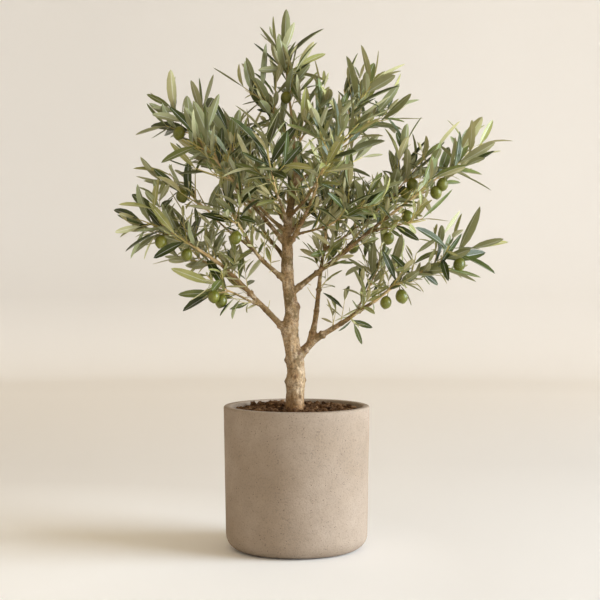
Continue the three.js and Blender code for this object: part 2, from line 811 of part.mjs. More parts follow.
// A thin leaf of eight faces: a point at each end and four corners at its widest place.
function leafGeometry({ root, tip, left, right, top, bottom }) {
  const corners = [root, tip, left, top, right, bottom];
  const geometry = new THREE.BufferGeometry();
  geometry.setAttribute('position', new THREE.Float32BufferAttribute(
    corners.flatMap((corner) => [corner.x, corner.y, corner.z]), 3,
  ));
  const index = [];
  for (let s = 0; s < 4; s += 1) {
    const a = 2 + s;
    const b = 2 + (s + 1) % 4;
    index.push(0, a, b, 1, b, a);
  }
  geometry.setIndex(index);
  return geometry;
}

// An olive and its stalk in one: thin at the twig, fullest at the middle, blunt at the end.
function oliveSolid({ node, middle, hang }) {
  const { halfWidth, halfLength, stalkThickness } = OLIVE;
  const points = [
    node,
    middle.clone().addScaledVector(hang, -halfLength),
    middle.clone().addScaledVector(hang, -halfLength / 2),
    middle.clone().addScaledVector(hang, halfLength / 2),
    middle.clone().addScaledVector(hang, halfLength),
  ];
  const full = halfWidth * Math.cos(Math.PI / OLIVE.sides);
  const radii = [stalkThickness / 4, stalkThickness / 2, full, full, stalkThickness];
  return toSolid(limbGeometry(points, radii, OLIVE.sides));
}

function massSolid(mass) {
  const { shoot, thick } = mass;
  const foot = shoot.thick ?? thick[1];
  const stemRadii = mass.stem.map((point, i) => {
    const thickness = foot + ((STEM.tip - foot) * i) / ARC_STEPS;
    return (PRISM * thickness) / 2;
  });
  let solid = toSolid(limbGeometry(mass.stem, stemRadii, TWIG_SIDES));
  mass.shoots.slice(1).forEach(({ points }) => {
    solid = solid.add(toSolid(limbGeometry(points, TWIG.radii, TWIG_SIDES)));
  });
  mass.leaves.forEach((leaf) => {
    solid = solid.add(toSolid(leafGeometry(leaf)));
  });
  mass.olives.forEach((olive) => {
    solid = solid.add(oliveSolid(olive));
  });
  return solid;
}

// ---------------------------------------------------------------- the assembly

const tree = new THREE.Group();
tree.add(pieceOf('pot', potGeometry(), concrete));
tree.add(pieceOf('soil', soilGeometry(), earth));
tree.add(pieceOf('trunk', toGeometry(trunkSolid(0)), bark));

// Each bough is cut to sit on the limb that carries it and on the boughs beside its foot.
const trunkSeat = trunkSolid(GAP);
const seats = [trunkSeat];
boughs.forEach((limb) => {
  let solid = boughSolid(limb, 0);
  seats.forEach((seat) => {
    solid = solid.subtract(seat);
  });
  tree.add(pieceOf(`bough_${limb.name}`, toGeometry(mainBody(solid)), bark));
  seats.push(boughSolid(limb, GAP));
});

masses.forEach((mass) => {
  let solid = massSolid(mass);
  if (!mass.thick) {
    solid = solid.subtract(trunkSeat);
  }
  tree.add(pieceOf(`foliage_${mass.name}`, toGeometry(mainBody(solid)), leafage));
});

export default tree;
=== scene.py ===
import math
from types import SimpleNamespace

import bpy
import numpy as np
from mathutils import Matrix, Vector, kdtree, noise


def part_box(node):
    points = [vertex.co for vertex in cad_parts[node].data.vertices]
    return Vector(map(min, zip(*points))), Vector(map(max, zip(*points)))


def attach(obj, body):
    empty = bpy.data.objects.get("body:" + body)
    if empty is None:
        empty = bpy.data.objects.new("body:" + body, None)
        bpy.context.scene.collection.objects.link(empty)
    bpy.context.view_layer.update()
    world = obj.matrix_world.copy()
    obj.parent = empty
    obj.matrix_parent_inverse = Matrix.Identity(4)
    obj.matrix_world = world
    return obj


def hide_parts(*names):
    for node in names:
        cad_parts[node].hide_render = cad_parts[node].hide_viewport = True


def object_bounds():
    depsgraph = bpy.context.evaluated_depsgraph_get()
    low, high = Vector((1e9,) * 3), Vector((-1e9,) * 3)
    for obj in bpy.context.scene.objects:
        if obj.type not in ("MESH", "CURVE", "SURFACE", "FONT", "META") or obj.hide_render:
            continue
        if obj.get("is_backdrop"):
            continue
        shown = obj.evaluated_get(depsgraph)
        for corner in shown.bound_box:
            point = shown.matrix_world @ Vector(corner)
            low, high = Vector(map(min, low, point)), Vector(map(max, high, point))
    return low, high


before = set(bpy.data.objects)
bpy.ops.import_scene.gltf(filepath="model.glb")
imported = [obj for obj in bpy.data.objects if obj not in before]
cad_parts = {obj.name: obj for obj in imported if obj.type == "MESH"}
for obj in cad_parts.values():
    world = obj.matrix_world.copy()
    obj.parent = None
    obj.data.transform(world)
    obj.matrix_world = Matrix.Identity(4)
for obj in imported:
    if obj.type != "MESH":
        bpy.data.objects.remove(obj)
cad_low, cad_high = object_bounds()

# ---------------------------------------------------------------- the pot
# A plain round planter cast in one piece from sandy concrete. Its wall leans out a little from
# a well rounded foot to a soft lip, and the casting left small air holes and faint clouds in it.

POT_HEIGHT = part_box("pot")[1].z
RIM_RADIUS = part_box("pot")[1].x
FOOT_RADIUS = RIM_RADIUS - 0.0035
POT_WALL = 0.011
POT_FLOOR = 0.014
FOOT_ROUND = 0.022
LIP_ROUND = 0.0032
POT_SIDES = 144
CAST_WAVE = 0.0005  # how far the cast wall strays from a true round


def tint(red, green, blue):
    """The linear colour of a paint given by its 0 to 255 values."""
    shares = [value / 255 for value in (red, green, blue)]
    return tuple(s / 12.92 if s < 0.04 else ((s + 0.055) / 1.055) ** 2.4 for s in shares) + (1.0,)


class Look:
    """A material in the making. Its patterns lie on Object coordinates unless told otherwise."""

    def __init__(self, name, roughness, specular):
        self.material = bpy.data.materials.new(name)
        self.material.use_nodes = True
        self.tree = self.material.node_tree
        self.shader = self.tree.nodes["Principled BSDF"]
        self.shader.inputs["Roughness"].default_value = roughness
        self.shader.inputs["Specular IOR Level"].default_value = specular
        self.place = self.node("TexCoord", {}, output="Object")

    def node(self, kind, inputs, output=0, **settings):
        """Adds a node, links or sets its inputs, and gives back one output."""
        made = self.tree.nodes.new("ShaderNode" + kind)
        for key, value in settings.items():
            setattr(made, key, value)
        for key, value in inputs.items():
            if isinstance(value, bpy.types.NodeSocket):
                self.tree.links.new(value, made.inputs[key])
            else:
                made.inputs[key].default_value = value
        return made.outputs[output]

    def noise(self, scale, detail=2, rough=0.5, place=None):
        inputs = {"Vector": place if place else self.place, "Scale": scale, "Detail": detail,
                  "Roughness": rough}
        return self.node("TexNoise", inputs)

    def cells(self, scale, output="Distance"):
        """A net of cells: how far each point is from its cell's middle, or a colour for each cell."""
        return self.node("TexVoronoi", {"Vector": self.place, "Scale": scale}, output)

    def axis(self, letter):
        return self.node("SeparateXYZ", {0: self.place}, letter)

    def fade(self, value, low, high, start=0.0, end=1.0):
        """A level that runs from start to end while value runs from low to high."""
        return self.node("MapRange", {0: value, 1: low, 2: high, 3: start, 4: end})

    def ramp(self, share, *stops):
        """A colour or a grey level that runs through stops of (share, colour or level)."""
        made = self.tree.nodes.new("ShaderNodeValToRGB")
        self.tree.links.new(share, made.inputs["Fac"])
        elements = made.color_ramp.elements
        while len(elements) < len(stops):
            elements.new(1.0)
        for element, (place, shade) in zip(elements, stops):
            element.position = place
            element.color = shade if isinstance(shade, tuple) else (shade, shade, shade, 1.0)
        return made.outputs["Color"]

    def mix(self, share, first, second, blend="MIX"):
        """Colours first and second mixed; sockets 6 and 7 of the node are its two colours."""
        inputs = {0: share, 6: first, 7: second}
        return self.node("Mix", inputs, 2, data_type="RGBA", blend_type=blend)

    def darken(self, color, strength, pattern, *stops):
        """color times the grey level of a pattern's ramp."""
        return self.mix(strength, color, self.ramp(pattern, *stops), "MULTIPLY")

    def spots(self, color, paint, pattern, *stops):
        """color with another paint over it where a pattern's ramp is above 0."""
        return self.mix(self.ramp(pattern, *stops), color, paint)

    def finish(self, color, *bumps):
        """Paints the shader and raises it by bumps of (pattern, distance, strength)."""
        self.tree.links.new(color, self.shader.inputs["Base Color"])
        normal = {}
        for height, distance, strength in bumps:
            inputs = {"Height": height, "Distance": distance, "Strength": strength}
            normal = {"Normal": self.node("Bump", inputs | normal)}
            self.tree.links.new(normal["Normal"], self.shader.inputs["Normal"])
        return self.material


def concrete_material():
    look = Look("sandy_concrete", 0.9, specular=0.25)
    blotches = look.noise(48, detail=4, rough=0.6)
    sand = look.noise(400, detail=4, rough=0.72)
    color = look.ramp(look.noise(10, detail=3), (0.33, tint(157, 139, 119)), (0.67, tint(172, 155, 137)))
    color = look.darken(color, 0.8, blotches, (0.35, 0.9), (0.65, 1.0))
    color = look.darken(color, 0.8, sand, (0.34, 0.66), (0.47, 0.94), (0.7, 1.0))
    # Short level marks of the mould.
    level = look.node("Mapping", {"Vector": look.place, "Scale": (34.0, 34.0, 420.0)})
    color = look.spots(color, tint(112, 90, 70), look.noise(1.0, place=level), (0.66, 0.0), (0.74, 0.14))
    # Air holes: small dark dots of painted shade in the hollows, in some of the cells of a loose net.
    middles = look.cells(230)
    dots = look.ramp(middles, (0.12, 0.65), (0.2, 0.0))
    painted_hole_shade = look.darken(dots, 1.0, look.cells(230, "Color"), (0.56, 0.0), (0.6, 1.0))
    color = look.mix(painted_hole_shade, color, tint(74, 56, 42))
    pits = look.ramp(middles, (0.1, 0.0), (0.22, 1.0))
    return look.finish(color, (sand, 0.0012, 0.45), (blotches, 0.0012, 0.25), (pits, 0.0006, 0.25))


def choose(*objects):
    """Selects these objects alone and makes the first of them the active one."""
    bpy.ops.object.select_all(action="DESELECT")
    for obj in objects:
        obj.select_set(True)
    bpy.context.view_layer.objects.active = objects[0]


def mode(kind):
    bpy.ops.object.mode_set(mode=kind)


def pick(obj, kind, wanted):
    """Starts edit mode with those edges or faces selected for which wanted(element) is true."""
    choose(obj)
    mode("EDIT")
    bpy.ops.mesh.select_mode(type=kind)
    bpy.ops.mesh.select_all(action="DESELECT")
    mode("OBJECT")
    for element in obj.data.edges if kind == "EDGE" else obj.data.polygons:
        element.select = bool(wanted(element))
    mode("EDIT")


def round_edges(obj, z, radius, segments):
    """Rounds the edges that lie at height z."""
    points = obj.data.vertices
    reach = 0.0005
    pick(obj, "EDGE", lambda edge: all(
        abs(points[v].co.z + obj.location.z - z) < reach for v in edge.vertices))
    bpy.ops.mesh.bevel(offset=radius, segments=segments, affect="EDGES")
    mode("OBJECT")


def apply_modifier(obj, kind, **settings):
    bpy.context.view_layer.objects.active = obj
    modifier = obj.modifiers.new(kind.lower(), kind)
    for key, value in settings.items():
        setattr(modifier, key, value)
    bpy.ops.object.modifier_apply(modifier=modifier.name)


def finish_piece(obj, name, slot, nodes, *materials, angle):
    """Names a piece, puts its place in its mesh, smooths it and ties it to the CAD."""
    obj.name = name
    obj.data.name = name
    choose(obj)
    bpy.ops.object.transform_apply(location=True, rotation=True, scale=True)
    bpy.ops.object.shade_smooth_by_angle(angle=math.radians(angle))
    for material in materials:
        obj.data.materials.append(material)
    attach(obj, "root")
    if nodes:
        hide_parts(*nodes)


def make_pot():
    bpy.ops.mesh.primitive_cylinder_add(
        vertices=POT_SIDES, radius=FOOT_RADIUS, depth=POT_HEIGHT, location=(0, 0, POT_HEIGHT / 2))
    pot = bpy.context.object
    lean = RIM_RADIUS / FOOT_RADIUS
    narrowing = (FOOT_RADIUS - POT_WALL) / (RIM_RADIUS - POT_WALL)
    pick(pot, "FACE", lambda face: face.normal.z > 0.9)
    bpy.ops.transform.resize(value=(lean, lean, 1))
    bpy.ops.mesh.inset(thickness=POT_WALL)
    bpy.ops.mesh.extrude_region_move(
        TRANSFORM_OT_translate={"value": (0, 0, POT_FLOOR - POT_HEIGHT)})
    bpy.ops.transform.resize(value=(narrowing, narrowing, 1))
    mode("OBJECT")
    round_edges(pot, 0.0, FOOT_ROUND, segments=10)
    points = pot.data.vertices

    def upright(edge):
        low, high = (points[v].co for v in edge.vertices)
        return abs(high.z - low.z) > POT_HEIGHT / 2 and low.xy.length > FOOT_RADIUS - 0.001

    pick(pot, "EDGE", upright)
    bpy.ops.mesh.subdivide(number_cuts=26)
    mode("OBJECT")
    round_edges(pot, POT_HEIGHT, LIP_ROUND, segments=5)
    return pot


pot = make_pot()
wave = bpy.data.textures.new("cast_wave", "CLOUDS")
wave.noise_scale = 0.07
apply_modifier(pot, "DISPLACE", texture=wave, strength=CAST_WAVE, mid_level=0.5)
finish_piece(pot, "concrete_pot", "concrete", ["pot"], concrete_material(), angle=35)

# ---------------------------------------------------------------- the soil
# Loose dark potting soil that fills the pot to just under its lip. It lies in crumbs and small
# clods, heaped a little round the trunk and towards the back of the pot.

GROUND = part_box("trunk")[0].z  # where the trunk leaves the soil
SOIL_RADIUS = RIM_RADIUS - POT_WALL - 0.0006
SOIL_RINGS = 26
SOIL_DEPTH = 0.02
SOIL_DIP = 0.001  # how far it lies below GROUND at the wall
HEAP = 0.0035
BACK_HEAP = 0.0022
MOUND = (-0.036, 0.03, 0.024, 0.005)  # place, width and height of one behind the trunk
# Rough ground: its height, its lumps to a metre, and where in the noise it starts.
CLODS = (0.0042, 55, 0.0)
GRIT = (0.0016, 240, 0.3)
CRUMBS = 1500
CRUMB_SIZES = (0.0007, 0.0048)  # smallest and largest radius
CRUMB_STRETCH = Vector((1.25, 1.0, 0.75))
# Least, and how much more by chance: the height of a crumb's middle and of its corners.
CRUMB_LIFT = (-0.1, 0.5)
CRUMB_CORNER = (0.55, 0.75)
FULL_TURN = 6.28


def soil_material():
    look = Look("potting_soil", 0.97, specular=0.12)
    fibre = look.noise(600, detail=3, rough=0.7)
    color = look.ramp(look.noise(70, detail=4, rough=0.65), (0.3, tint(58, 39, 23)),
                      (0.5, tint(104, 74, 48)), (0.72, tint(162, 126, 90)))
    color = look.darken(color, 0.8, fibre, (0.3, 0.45), (0.7, 1.0))
    return look.finish(color, (fibre, 0.0015, 0.8))


def soil_height(x, y):
    """Height of the soil over the pot: level at the wall, heaped inside, rough all over."""
    share = math.hypot(x, y) / SOIL_RADIUS
    heap = HEAP * math.sin(math.pi * min(1.0, share))
    heap += BACK_HEAP * max(0.0, y / SOIL_RADIUS - share * 0.2)
    mound_x, mound_y, width, height = MOUND
    heap += height * math.exp(-((x - mound_x) ** 2 + (y - mound_y) ** 2) / width**2)
    rough = sum(rise * noise.noise(Vector((x, y, start)) * scale) for rise, scale, start in (CLODS, GRIT))
    return GROUND - SOIL_DIP + heap + rough * (1 - share**8)


def make_soil():
    bpy.ops.mesh.primitive_circle_add(
        vertices=96, radius=SOIL_RADIUS, location=(0, 0, GROUND), fill_type="NOTHING")
    soil = bpy.context.object
    mode("EDIT")
    bpy.ops.mesh.select_all(action="SELECT")
    for ring in range(SOIL_RINGS, 1, -1):
        bpy.ops.mesh.extrude_edges_move()
        inward = (ring - 1) / ring
        bpy.ops.transform.resize(value=(inward, inward, 1))
    bpy.ops.mesh.edge_face_add()
    mode("OBJECT")
    for vertex in soil.data.vertices:
        vertex.co.z = soil_height(vertex.co.x, vertex.co.y) - GROUND
    faces_up = soil.data.polygons[0].normal.z > 0
    apply_modifier(soil, "SOLIDIFY", thickness=SOIL_DEPTH, offset=-1.0 if faces_up else 1.0)
    return soil


def chance(*keys):
    """A share between 0 and 1, always the same for the same keys. The last tells what it is for."""
    mixed = 2166136261
    for key in keys:
        mixed = ((mixed ^ key) * 16777619) & 0xFFFFFFFF
        mixed ^= mixed >> 13
        mixed = (mixed * 0x5BD1E995) & 0xFFFFFFFF
        mixed ^= mixed >> 15
    return mixed / 4294967296


def dealt(span, draw):
    """A value of span, which holds its least and how much more it can be."""
    return span[0] + span[1] * draw


def add_object(name, data):
    made = bpy.data.objects.new(name, data)
    bpy.context.scene.collection.objects.link(made)
    return made


def mesh_object(name, points, faces):
    data = bpy.data.meshes.new(name)
    data.from_pydata(points, [], faces)
    data.update()
    return add_object(name, data)


def one_crumb(corners, number):
    """A lump of soil: a ball of few faces with every corner pushed in or out."""
    draw = [chance(number, n, 41) for n in range(6)]
    low, high = CRUMB_SIZES
    size = low + (high - low) * draw[0] ** 4
    radius = (SOIL_RADIUS - size) * math.sqrt(draw[1])
    angle = 2 * math.pi * draw[2]
    x, y = radius * math.cos(angle), radius * math.sin(angle)
    middle = Vector((x, y, soil_height(x, y) + size * dealt(CRUMB_LIFT, draw[3])))
    turn = Matrix.Rotation(FULL_TURN * draw[4], 3, "Z") @ Matrix.Rotation(FULL_TURN * draw[5], 3, "X")
    return [middle + turn @ (corner * CRUMB_STRETCH) * (size * dealt(CRUMB_CORNER, chance(number, n, 42)))
            for n, corner in enumerate(corners)]


def make_crumbs():
    bpy.ops.mesh.primitive_ico_sphere_add(subdivisions=2, radius=1.0)
    ball = bpy.context.object
    corners = [vertex.co.copy() for vertex in ball.data.vertices]
    ball_faces = [list(face.vertices) for face in ball.data.polygons]
    bpy.data.objects.remove(ball)
    points = []
    faces = []
    for number in range(CRUMBS):
        faces += [[len(points) + v for v in face] for face in ball_faces]
        points += one_crumb(corners, number)
    return mesh_object("crumbs", points, faces)


soil_look = soil_material()
finish_piece(make_soil(), "soil_bed", "soil", ["soil"], soil_look, angle=60)
finish_piece(make_crumbs(), "soil_crumbs", "soil", [], soil_look, angle=60)

# ---------------------------------------------------------------- the trunk and the boughs
# A young olive's wood: a leaning trunk with a slight root flare, swollen where old shoots sat,
# and tapering boughs with a collar at the foot and a ring at each old pair of leaves. The smooth
# tan bark is finely furrowed and wrinkled. The tree is grown in millimetres and made in metres.

MM = 0.001
DEG = math.pi / 180
UP = np.array((0.0, 0.0, 1.0))
ACROSS = np.array((0.0, 1.0, 0.0))
SOIL_LEVEL = GROUND / MM

# Height above the soil, place across, place in depth, thickness.
TRUNK_STATIONS = [
    (0, -2, 0, 31), (14, -2, 0, 28), (30, -2, 0, 28), (44, -2, 0, 29), (62, -1, 1, 28),
    (98, -7, 2, 24), (123, -10, 3, 25), (152, -7, 3, 21.5), (184, -12, 2, 18.5),
    (212, -14, 1, 19), (240, -14, 0, 17), (268, -15, 0, 13.5), (302, -10, 0, 11.5),
    (322, -6, 1, 9.6), (346, 0, 2, 11), (370, -2, 3, 7), (405, -4, 3, 5.4), (440, -7, 3, 4.4),
]
ARC_STEPS = 4
CROOK = 9  # degrees that a limb wanders from its arc at each step
COLLAR_SWELL = 0.34
COLLAR_LENGTH = 9
SEAT_GAP = 0.3

# Each limb: name, carrier and place on it, heading, rise, turn and lift on the way, length, and
# thickness at foot and tip. Then the leafy stem that grows on from it: length, side twigs, their
# length, roll, turn, lift and droop, and the places of its olives. A length of 0 is a stem alone.
LIMB_FIELDS = ("name", "on", "at", "heading", "rise", "turn", "lift", "length", "thick", "shoot")
STEM_FIELDS = ("length", "twigs", "twig", "roll", "turn", "lift", "droop", "olives")
LIMBS = [
    ("right_fork", "trunk", 77, 4, 43, 0, 6, 43, (14.8, 11.4), None),
    ("low_left", "trunk", 113, 190, 50, 0, -10, 150, (10.4, 5.6),
     (142, 5, 60, 20, -4, -24, 0.24, (0.4, 0.7))),
    ("low_left_side", "low_left", 0.42, 204, 20, 0, 6, 50, (4.6, 3.2),
     (36, 3, 30, 80, 0, -10, 0.6, (0.4, 0.95))),
    ("low_left_back", "low_left", 0.62, 152, 30, 0, 0, 50, (4.6, 3.2), (92, 3, 55, 0, 0, 10, 0, ())),
    ("mid_left", "trunk", 192, 212, 36, 6, 14, 112, (8.4, 4.2), (50, 3, 45, 60, 20, 8, 0, (0.2,))),
    ("left_spray", "mid_left", 0.66, 172, 36, 0, 6, 72, (4.4, 3), (104, 4, 52, 30, 0, 4, 0, (0.8,))),
    ("upper_left", "trunk", 247, 177, 48, 0, 2, 128, (7.4, 4.4), (140, 4, 60, 10, 0, -4, 0, (0.65, 0.85))),
    ("left_crest", "upper_left", 0.8, 222, 66, 0, 4, 34, (3.6, 3), (66, 3, 52, 40, 0, 4, 0, ())),
    ("upper_left_back", "upper_left", 0.55, 128, 38, 0, 4, 52, (4.2, 3), (96, 4, 56, 0, 0, 8, 0, ())),
    ("inner_left", "trunk", 280, 150, 50, 0, 0, 60, (5.6, 3.4), (92, 4, 56, 0, 0, 10, 0, ())),
    ("front_left", "trunk", 270, 224, 30, 0, 6, 112, (6.2, 3.4), (104, 4, 56, 50, 0, 6, 0, ())),
    ("front_mid", "trunk", 284, 258, 22, 0, 8, 98, (5.8, 3.2), (96, 3, 50, 10, 0, 6, 0, ())),
    ("upper_right", "trunk", 247, -52, 36, 10, 26, 92, (8.4, 4), (112, 4, 58, 30, 30, 10, 0, ())),
    ("inner_right", "upper_right", 0.26, -22, 14, 0, 6, 56, (4.4, 3), (74, 4, 54, 30, 0, 24, 0, ())),
    ("front_right", "trunk", 292, -64, 26, 0, 8, 104, (5.8, 3.2), (104, 4, 54, 70, 0, 4, 0, ())),
    ("top_right_outer", "trunk", 341, 14, 41, 0, 0, 62, (5.2, 3.4), (122, 4, 54, 30, 0, 0, 0, ())),
    ("top_right", "top_right_outer", 0.72, -18, 56, 0, 0, 32, (3.6, 2.8), (116, 4, 50, 0, 0, 2, 0, ())),
    ("low_right", "right_fork", 0.97, -12, 26, 0, 10, 106, (9.4, 5.2),
     (170, 6, 58, 30, 6, -12, 0.22, (0.17, 0.28, 0.9))),
    ("right_upright", "right_fork", 0.8, 18, 80, 0, 4, 154, (9.6, 4.4), (78, 4, 56, 30, 0, -6, 0, ())),
    ("low_right_inner", "low_right", 0.72, 48, 50, 0, 0, 44, (3.8, 2.8), (64, 3, 52, 30, 0, 10, 0, ())),
    ("right_shoulder", "right_upright", 0.93, -8, 34, 0, 10, 92, (4.4, 3.2),
     (112, 5, 54, 60, 0, 8, 0, (0.58, 0.74))),
    ("mid_right", "trunk", 175, -8, 35, 0, 6, 192, (8.4, 4.6), (172, 5, 58, 0, 6, -6, 0, (0.15, 0.48, 0.6))),
    ("mid_right_under", "mid_right", 0.8, -30, 6, 0, 4, 34, (3.8, 2.8), (56, 3, 44, 30, 0, 4, 0, (0.05,))),
    ("mid_right_back", "mid_right", 0.42, 48, 34, 0, 4, 66, (4.8, 3.2), (104, 4, 56, 0, 0, 6, 0, (0.05,))),
    ("back_left", "trunk", 224, 126, 34, 0, 6, 124, (7.2, 3.6), (112, 4, 58, 20, 0, 8, 0, ())),
    ("back_right", "trunk", 262, 56, 30, 0, 6, 116, (6.6, 3.6), (112, 4, 58, 20, 0, 8, 0, ())),
    ("back_mid", "trunk", 236, 90, 28, 0, 10, 110, (6.4, 3.4), (108, 4, 58, 20, 0, 8, 0, ())),
    ("crest_left", "trunk", 394, 188, 62, 0, 0, 0, (3.4, 3.4), (118, 4, 50, 0, 0, -8, 0, ())),
    ("crest_right", "trunk", 392, -34, 52, 0, 0, 0, (3.4, 3.4), (88, 4, 46, 30, 0, 6, 0, ())),
    ("crown_tip", "trunk", 440, 186, 80, 0, 0, 0, (4.2, 4.2), (106, 4, 50, 0, 0, 4, 0, (0.45,))),
]


def unit(way):
    return way / np.linalg.norm(way)


def direction(heading, rise):
    level = math.cos(rise * DEG)
    return np.array((math.cos(heading * DEG) * level, math.sin(heading * DEG) * level,
                     math.sin(rise * DEG)))


def stray(width, *keys):
    """By chance up to half of width to either side of 0."""
    return width * (chance(*keys) - 0.5)


def arc(start, heading, rise, turn, lift, length, seed):
    points = [np.array(start, float)]
    for i in range(ARC_STEPS):
        share = (i + 0.5) / ARC_STEPS
        step = direction(heading + turn * share + stray(CROOK, seed, i, 11),
                         rise + lift * share + stray(CROOK, seed, i, 12))
        points.append(points[-1] + step * length / ARC_STEPS)
    return np.array(points)


def place_along(points, share):
    t = min(max(share, 0.0), 1.0) * (len(points) - 1)
    i = min(int(t), len(points) - 2)
    return points[i] + (points[i + 1] - points[i]) * (t - i)


def heading_along(points, share):
    reach = 0.05
    return unit(place_along(points, share + reach) - place_along(points, share - reach))


def turned(way, axis, angle):
    """way, which is square to axis, turned round it."""
    return way * math.cos(angle) + np.cross(axis, way) * math.sin(angle)


def sideways(along, roll):
    side = unit(np.cross(along, UP if abs(along[2]) < 0.98 else ACROSS))
    return turned(side, along, roll * DEG)


def step_lengths(points):
    return np.linalg.norm(np.diff(points, axis=0), axis=1)


def smooth_line(points, values, step):
    """A smooth curve through points, with a point about every step, and its values."""
    padded = np.vstack((2 * points[0] - points[1], points, 2 * points[-1] - points[-2]))
    line = []
    sizes = []
    for i in range(1, len(points)):
        p0, p1, p2, p3 = padded[i - 1:i + 3]
        count = max(2, round(np.linalg.norm(p2 - p1) / step))
        for k in range(count):
            t = k / count
            line.append(0.5 * (2 * p1 + (p2 - p0) * t + (2 * p0 - 5 * p1 + 4 * p2 - p3) * t**2
                               + (3 * p1 - p0 - 3 * p2 + p3) * t**3))
            sizes.append(values[i - 1] + (values[i] - values[i - 1]) * (t * t * (3 - 2 * t)))
    return np.array(line + [points[-1]]), np.array(sizes + [values[-1]])


trunk_points = np.array([(x, y, SOIL_LEVEL + height) for height, x, y, _ in TRUNK_STATIONS], float)
trunk_radii = np.array([thickness / 2 for *_, thickness in TRUNK_STATIONS])


def place_on_trunk(height):
    z = SOIL_LEVEL + height
    i = next((n for n, point in enumerate(trunk_points) if point[2] >= z - 1e-9), len(trunk_points) - 1)
    below, above = trunk_points[i - 1], trunk_points[i]
    return below + (above - below) * (z - below[2]) / (above[2] - below[2])


def radius_on_carrier(made):
    if made.on != "trunk":
        foot, tip = grown[made.on].thick
        return (foot + (tip - foot) * made.at) / 2
    return trunk_radii[next(n for n, station in enumerate(TRUNK_STATIONS) if station[0] >= made.at)]


def bough_radii(made):
    """Thickest at its collar, then an even taper to the tip."""
    foot, tip = made.thick
    shares = np.arange(ARC_STEPS + 1) / ARC_STEPS
    past = np.maximum(shares * made.length - made.seat_depth, 0)
    collar = 1 + COLLAR_SWELL * np.maximum(0, 1 - past / COLLAR_LENGTH)
    return (foot + (tip - foot) * shares) / 2 * collar


grown = {}
for seed, row in enumerate(LIMBS):
    made = SimpleNamespace(seed=seed, **dict(zip(LIMB_FIELDS, row)))
    if made.shoot:
        made.shoot = SimpleNamespace(**dict(zip(STEM_FIELDS, made.shoot)))
    carrier = grown.get(made.on)
    made.start = place_along(carrier.points, made.at) if carrier else place_on_trunk(made.at)
    made.seat_depth = radius_on_carrier(made)
    if made.length:
        made.points = arc(made.start, made.heading, made.rise, made.turn, made.lift,
                             made.length, seed)
    grown[made.name] = made
boughs = [made for made in grown.values() if made.length]

WOOD_STEP = 1.4  # from one point of a limb's line to the next
WOOD_VOXEL = 0.96
RUN_STEP = 1000  # one limb's run starts so far from the next one's that no two meet
BURIED = 6
BURIED_FLARE = 1.06
# Rings of a bough: their distance, start, middle and half width, then their swelling.
RING_EVERY = 33
RING_START = 8
RING_MIDDLE = 2.2
RING_WIDTH = 2.0
RING_CLEAR = 4  # no ring so near the foot
RING_SWELL = 0.13
RING_RISE = 0.12
# Knobs, in pairs at each old pair of leaves: rise (by chance, as a share of the radius) and width
# (by the radius) are the least, and how much more.
KNOB_ENDS = (10, 3)  # clear of the foot and the tip
KNOB_TURNS = (90, 70)  # from pair to pair, and from bough to bough
KNOB_RISE = (0.24, 0.3)
KNOB_WIDTH = (1.1, 0.32)
KNOB_DARK = 0.55
# Relief of the bark: its height, and how fine it is round the limb and along it.
GRAIN = (0.95, 0.2, 0.05)
WRINKLE = (0.8, 0.24, 0.2)
FULL_RELIEF_RADIUS = 12
LEAST_RELIEF = 0.12
# The root flare: its height, swelling, lobes and the way that they are turned.
FLARE_HEIGHT = 34
FLARE_SWELL = 0.1
FLARE_LOBES = 3
FLARE_TURN = 40
# Old scars and knobs of the trunk: height above the soil, way round (0 is +X, 90 is +Y, so -90
# faces the front), width, height above the bark (below 0 for a hollow), and how dark it is.
TRUNK_MARKS = [
    (43, 178, 3.0, 2.0, 0.6), (46, 2, 3.0, 1.8, 0.4), (45, -80, 3.0, 0.8, 0.2), (43, 80, 4.0, 1.4, 0.3),
    (76, 186, 3.6, 2.6, 0.9), (72, 200, 3.0, 1.0, 0.6), (80, -30, 3.8, 1.6, 0.5), (86, -48, 2.4, -1.2, 0.9),
    (90, -34, 3.0, 1.4, 0.7), (70, -22, 3.2, 1.3, 0.3), (127, 205, 2.6, -1.9, 1.0),
    (133, 214, 3.0, 1.5, 0.1), (124, 222, 2.4, 1.2, 0.1), (119, 232, 3.2, 1.0, 0.2),
    (118, 196, 4.0, 1.6, 0.5), (156, -12, 4.6, 2.4, 0.5), (161, -20, 2.6, 1.2, 0.9),
    (104, 60, 4.0, 1.5, 0.4), (150, 120, 3.6, 1.6, 0.5), (200, -150, 3.0, 1.2, 0.5),
    (206, -40, 3.4, 1.4, 0.3), (58, 130, 3.0, 0.9, 0.3), (22, -60, 3.4, 0.8, 0.1), (18, 150, 4.0, 1.0, 0.2),
]


def wood_lines():
    """Each limb as a smooth line of points with its radii: rings swell it at even distances."""
    buried = np.vstack((trunk_points[0] - UP * BURIED, trunk_points))
    lines = [smooth_line(buried, np.append(trunk_radii[0] * BURIED_FLARE, trunk_radii), WOOD_STEP)]
    for made in boughs:
        line, radii = smooth_line(made.points, bough_radii(made), WOOD_STEP)
        run = np.linspace(0, made.length, len(line)) - made.seat_depth
        phase = ((run - RING_START) % RING_EVERY) - RING_MIDDLE
        ring = np.exp(-(phase / RING_WIDTH) ** 2) * (run > RING_CLEAR)
        lines.append((line, radii * (1 + RING_SWELL * ring) + RING_RISE * ring))
    return lines


